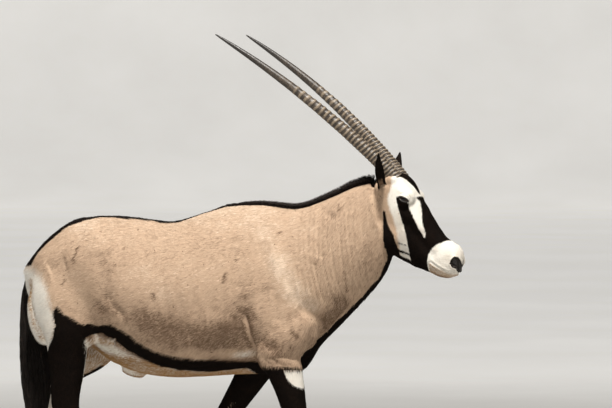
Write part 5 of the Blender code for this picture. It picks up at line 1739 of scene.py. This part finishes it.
p, n = sample(skin, hair_density, 300000)
d = lie(p, n)
b, w, dk = marks(p)
q = unturned(p - SHIFT)
head_here = in_head(q)
leg_here = (q[:, 2] < 0.60) & (q[:, 0] < 0.45)
length = np.where(head_here, 0.0062, np.where(leg_here, 0.0095, 0.0150)) * rng.uniform(0.75, 1.3, len(p))
length *= np.where(head_here & (q[:, 0] > 0.78), 0.75, 1.0)
length *= 1 + 0.5 * smooth(-0.5, -0.9, n[:, 2]) * (q[:, 2] > 0.5) * ~head_here
length *= 1 + 0.45 * smooth(-0.74, -0.79, q[:, 0])
width = np.where(head_here, 0.0010, np.where(leg_here, 0.0014, 0.0021)) * rng.uniform(0.8, 1.25, len(p))
lift = np.radians(np.where(head_here, 7.0, 6.0)) * rng.uniform(0.5, 1.6, len(p))
d = unit(d + 0.14 * rng.normal(size=d.shape) * (1 - 0.4 * head_here)[:, None])
d = unit(d - n * np.sum(d * n, 1)[:, None])
vary = rng.normal(0, 0.22, len(p))
# the tufts carry the same fields as the skin, painted shade and painted highlights included
values = {"black": np.clip(b, -0.5, 0.5), "white": np.clip(w, -0.5, 0.5), "dark": dk, "vary": vary}
region = np.full(len(p), 0)
region[(q[:, 0] > 0.27)] = 1
region[head_here] = 2
names = {0: "trunk", 1: "neck", 2: "head"}
for i, (leg, rows) in enumerate(LEGS.items()):
    y = math.copysign(1, rows[0][1])
    fore = "fore" in leg
    here = (q[:, 2] < 0.62) & (q[:, 1] * y > 0.02) & ((q[:, 0] > -0.30) if fore else (q[:, 0] <= -0.30)) & (q[:, 0] < 0.5)
    if fore:
        here &= q[:, 2] < 0.56
    region[here] = 3 + i
    names[3 + i] = leg
for key, kind in names.items():
    for sgn, word in ((-1, "right"), (1, "left")):
        pick = np.nonzero((region == key) & (q[:, 1] * sgn >= 0))[0]
        for part, chunk in enumerate(np.array_split(pick, max(1, math.ceil(len(pick) / 49000)))):
            if len(chunk):
                lay_tufts("coat_%s_%s_%d" % (kind, word, part), p[chunk], n[chunk], d[chunk], length[chunk], width[chunk],
                          lift[chunk], kind, coat_tuft, {k: v[chunk] for k, v in values.items()})


# ---------------------------------------------------------------- looks: mane, tail, fringes
def turned_np(p):
    return np.array([turned(Vector(v)) for v in p])


def crest_line(x):
    return top_line(x)


surface = BVHTree.FromObject(skin, bpy.context.evaluated_depsgraph_get())
m = 6500
mx = 0.02 + (0.592 - 0.02) * rng.random(m) ** 0.85
my = rng.normal(0, 0.0085, m)
roots, norms = [], []
for x, y in zip(mx, my):
    at = turned(Vector((x, y, top_line(x) + 0.05)))
    hit = surface.ray_cast(Vector((at.x - MIDDLE_X, at.y, at.z)), Vector((0, 0, -1)))
    roots.append(hit[0] if hit[0] is not None else Vector((at.x - MIDDLE_X, at.y, at.z - 0.05)))
    norms.append(hit[1] if hit[1] is not None else Vector((0, 0, 1)))
roots, norms = np.array(roots), np.array(norms)
share = np.clip((mx - 0.02) / 0.57, 0, 1)
long = (0.004 + 0.028 * share ** 0.7) * rng.uniform(0.75, 1.15, m) * np.clip((0.600 - mx) / 0.04, 0.35, 1)
back = np.stack([-(0.75 - 0.45 * share), np.zeros(m), np.zeros(m)], 1)
d0 = unit(norms + back * 0.6 + 0.10 * rng.normal(size=(m, 3)))
d1 = unit(norms + back * 1.3 + 0.14 * rng.normal(size=(m, 3)))
lay_strands("coat_mane", roots - norms * 0.001, d0, d1, long, np.full(m, 0.0019), 2, "neck", mane_hair)

# dorsal line of slightly longer dark hair on the croup and back
m = 2600
sx = rng.uniform(-0.78, 0.02, m)
sy = rng.normal(0, 0.35, m) * np.interp(sx, [-0.78, -0.66, -0.50, -0.3, 0.02], [0.03, 0.06, 0.02, 0.008, 0.012])
roots, norms = [], []
for x, y in zip(sx, sy):
    hit = surface.ray_cast(Vector((x - MIDDLE_X, y, top_line(x) + 0.05)), Vector((0, 0, -1)))
    roots.append(hit[0] if hit[0] is not None else Vector((x - MIDDLE_X, y, top_line(x))))
    norms.append(hit[1] if hit[1] is not None else Vector((0, 0, 1)))
roots, norms = np.array(roots), np.array(norms)
lie_back = unit(np.stack([-np.ones(m), np.zeros(m), np.full(m, -0.15)], 1))
lie_back = unit(lie_back - norms * np.sum(lie_back * norms, 1)[:, None])
d0 = unit(lie_back + norms * 0.22 + 0.06 * rng.normal(size=(m, 3)))
d1 = unit(lie_back + norms * 0.04 + 0.08 * rng.normal(size=(m, 3)))
lay_strands("coat_dorsal", roots - norms * 0.001, d0, d1, rng.uniform(0.016, 0.026, m), np.full(m, 0.0020), 2, "trunk", mane_hair)

# ---- tail: a core inside the solid, dressed with long strands
core_rows = [(x, y, z, f * (0.86 if z > 0.83 else 0.62 + 0.50 * min(1.0, max(0.0, (0.78 - z) / 0.12))),
              bk * (0.86 if z > 0.83 else 0.62), s * (0.86 if z > 0.83 else 0.62))
             for x, y, z, f, bk, s in TAIL]
bm = bmesh.new()
limb_loft(bm, core_rows, per_span=6, sides=24)
tail_core = placed(object_of("tail_core", bm, bpy.context.scene.collection))
tail_core.data.materials.append(black_hair)
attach(tail_core, "root")
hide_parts("tail")
m = 2300
rows = smooth_rows(TAIL, 6)
rz = rows[::-1, 2]
tz = 0.905 - 0.44 * rng.random(m) ** 1.25
ang = rng.uniform(0, 2 * math.pi, m)


def tail_at(z, a, share):
    cx = np.interp(z, rz, rows[::-1, 0]) - MIDDLE_X
    reach = np.interp(z, rz, rows[::-1, 4])
    wide = np.interp(z, rz, rows[::-1, 5])
    # the hair hangs fuller towards the leg
    full = 1 + 0.55 * np.clip((0.78 - z) / 0.14, 0, 1) * np.clip(np.cos(a), 0, 1)
    return np.stack([cx + reach * share * full * np.cos(a), wide * share * np.sin(a), z], 1)


segs = 7
drop = np.minimum(rng.uniform(0.14, 0.30, m), tz - 0.345)
edge = rng.uniform(0.62, 0.97, m)
levels = []
for k in range(segs + 1):
    t = k / segs
    z = tz - drop * t
    sh = np.where(t < 0.01, 0.5, 1) * (0.55 + (edge - 0.55) * np.sin(np.pi * min(t + 0.15, 1.0)) ** 0.6) * (1 - 0.15 * t)
    levels.append(tail_at(z, ang + 0.25 * np.sin(6 * t + ang * 3) * t, sh))
co, per = [], 3 * segs + 1
for k in range(segs):
    tan = unit(levels[k + 1] - levels[k])
    radial = unit(np.stack([np.cos(ang), np.sin(ang), np.zeros(m)], 1))
    s = unit(np.cross(tan, radial))
    w = (0.0030 * (1 - 0.7 * k / segs) / 2)
    co += [levels[k] + s * w, levels[k] - s * w, levels[k] + radial * w * 1.2]
co.append(levels[segs])
co = np.stack(co, 1)
f = [[0, 1, 2]]
for k in range(segs - 1):
    a, c = 3 * k, 3 * k + 3
    for i in range(3):
        j = (i + 1) % 3
        f += [[a + i, c + i, c + j], [a + i, c + j, a + j]]
a = 3 * (segs - 1)
f += [[a, per - 1, a + 1], [a + 1, per - 1, a + 2], [a + 2, per - 1, a]]
f = np.array(f)
c0 = co[0] - co[0].mean(0)
if sum(np.dot(c0[i], np.cross(c0[j], c0[k])) for i, j, k in f) < 0:
    f = f[:, ::-1]
faces = (f[None] + (np.arange(m) * per)[:, None, None]).reshape(-1, 3)
uv0 = np.stack([0.02 + 0.96 * np.clip((tz - 0.3) / 0.75, 0, 1), 0.5 + 0.48 * (ang / math.pi - 1)], 1)
uv = uv0[:, None, :] + np.stack([np.sin(np.arange(per) * 2.1) * 0.0012, np.linspace(-0.0015, 0.0015, per)], 1)[None]
tail_hair = mesh_object("coat_tail", co.reshape(-1, 3), faces, black_hair, uv=uv.reshape(-1, 2))
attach(tail_hair, "root")


# ---------------------------------------------------------------- looks: studio and camera
def stage_material():
    """Pale paper. It glows faintly away from the animal, so that the far floor and the wall are evenly pale."""
    m = Nodes("studio_paper")
    geo = m.add("ShaderNodeTexCoord").outputs["Object"]
    grain = m.noise(geo, 0.6, 5.0, 0.6)
    fine = m.noise(geo, 260.0, 3.0, 0.6)
    colour = m.mix(m.ramp(grain, 0.2, 0.9), (0.46, 0.45, 0.43), (0.51, 0.50, 0.48))
    m.link(colour, m.bsdf.inputs["Base Color"])
    m.bsdf.inputs["Roughness"].default_value = 0.9
    m.bsdf.inputs["Specular IOR Level"].default_value = 0.1
    flat = m.add("ShaderNodeVectorMath", operation="MULTIPLY", in_1=(1.0, 1.0, 0.0))
    m.link(geo, flat.inputs[0])
    length = m.add("ShaderNodeVectorMath", operation="LENGTH")
    m.link(flat.outputs[0], length.inputs[0])
    m.link(colour, m.bsdf.inputs["Emission Color"])
    height = m.add("ShaderNodeSeparateXYZ")
    m.link(geo, height.inputs[0])
    low = m.maths("SUBTRACT", 1.0, m.ramp(height.outputs["Z"], 9.0, 16.0))
    glow = m.maths("MULTIPLY", m.ramp(length.outputs["Value"], 4.0, 11.0), low)
    m.link(m.maths("MULTIPLY", glow, 1.15), m.bsdf.inputs["Emission Strength"])
    m.bump(fine, 0.15, 0.001)
    return m.mat


def studio():
    """A round floor that curves up into a wall far outside every camera."""
    profile = [(0.0, 0.0), (1.0, 0.0), (4.0, 0.0), (10.0, 0.0), (24.0, 0.0), (50.0, 0.0)]
    for k in range(1, 17):
        a = k / 16 * math.pi / 2
        profile.append((50.0 + 5.0 * math.sin(a), 5.0 - 5.0 * math.cos(a)))
    profile.append((55.0, 24.0))
    n = 96
    verts = [(0.0, 0.0, 0.0)] + [(r * math.cos(2 * math.pi * i / n), r * math.sin(2 * math.pi * i / n), z)
                                 for r, z in profile[1:] for i in range(n)]
    faces = [(0, 1 + i, 1 + (i + 1) % n) for i in range(n)]
    for k in range(len(profile) - 2):
        a, b = 1 + k * n, 1 + (k + 1) * n
        faces += [(a + i, b + i, b + (i + 1) % n, a + (i + 1) % n) for i in range(n)]
    me = bpy.data.meshes.new("studio")
    me.from_pydata(verts, [], faces)
    me.shade_smooth()
    me.materials.append(stage_material())
    o = bpy.data.objects.new("studio", me)
    bpy.context.scene.collection.objects.link(o)


def lamp(name, place, target, size, power_w, colour, spread=180):
    light = bpy.data.lights.new(name, "AREA")
    light.shape, light.size, light.energy, light.color = "DISK", size, power_w, colour
    light.spread = math.radians(spread)
    o = bpy.data.objects.new(name, light)
    o.location = place
    o.rotation_euler = (Vector(target) - Vector(place)).to_track_quat("-Z", "Y").to_euler()
    bpy.context.scene.collection.objects.link(o)


studio()
lamp("key", (1.25, -3.8, 9.3), (0.0, 0.0, 0.95), 1.0, 1520, (1.0, 0.972, 0.92))
lamp("fill", (-5.5, -6.0, 3.0), (0.0, 0.0, 0.9), 4.0, 25, (0.90, 0.95, 1.0))
lamp("rim", (-2.5, 4.6, 5.0), (0.0, 0.0, 1.1), 2.5, 90, (1.0, 0.98, 0.95))
world = bpy.data.worlds.new("studio_air")
world.use_nodes = True
world.node_tree.nodes["Background"].inputs[0].default_value = (0.92, 0.95, 1.0, 1)
world.node_tree.nodes["Background"].inputs[1].default_value = 0.06
bpy.context.scene.world = world
bpy.context.scene.view_settings.view_transform = "Standard"
bpy.context.scene.view_settings.look = "None"
bpy.context.scene.view_settings.exposure = 0.0

az, el = math.radians(18.0), math.radians(1.3)
aim = Vector((0.270 - MIDDLE_X, 0, 1.182))
camera_data = bpy.data.cameras.new("photo_camera")
camera_data.lens, camera_data.sensor_width, camera_data.sensor_fit = 298.0, 36.0, "HORIZONTAL"
camera_data.clip_end = 100.0
camera = bpy.data.objects.new("photo_camera", camera_data)
camera.location = aim + 18.0 * Vector((math.sin(az) * math.cos(el), -math.cos(az) * math.cos(el), math.sin(el)))
camera.rotation_euler = (aim - camera.location).to_track_quat("-Z", "Y").to_euler()
bpy.context.scene.collection.objects.link(camera)
bpy.context.scene.camera = camera
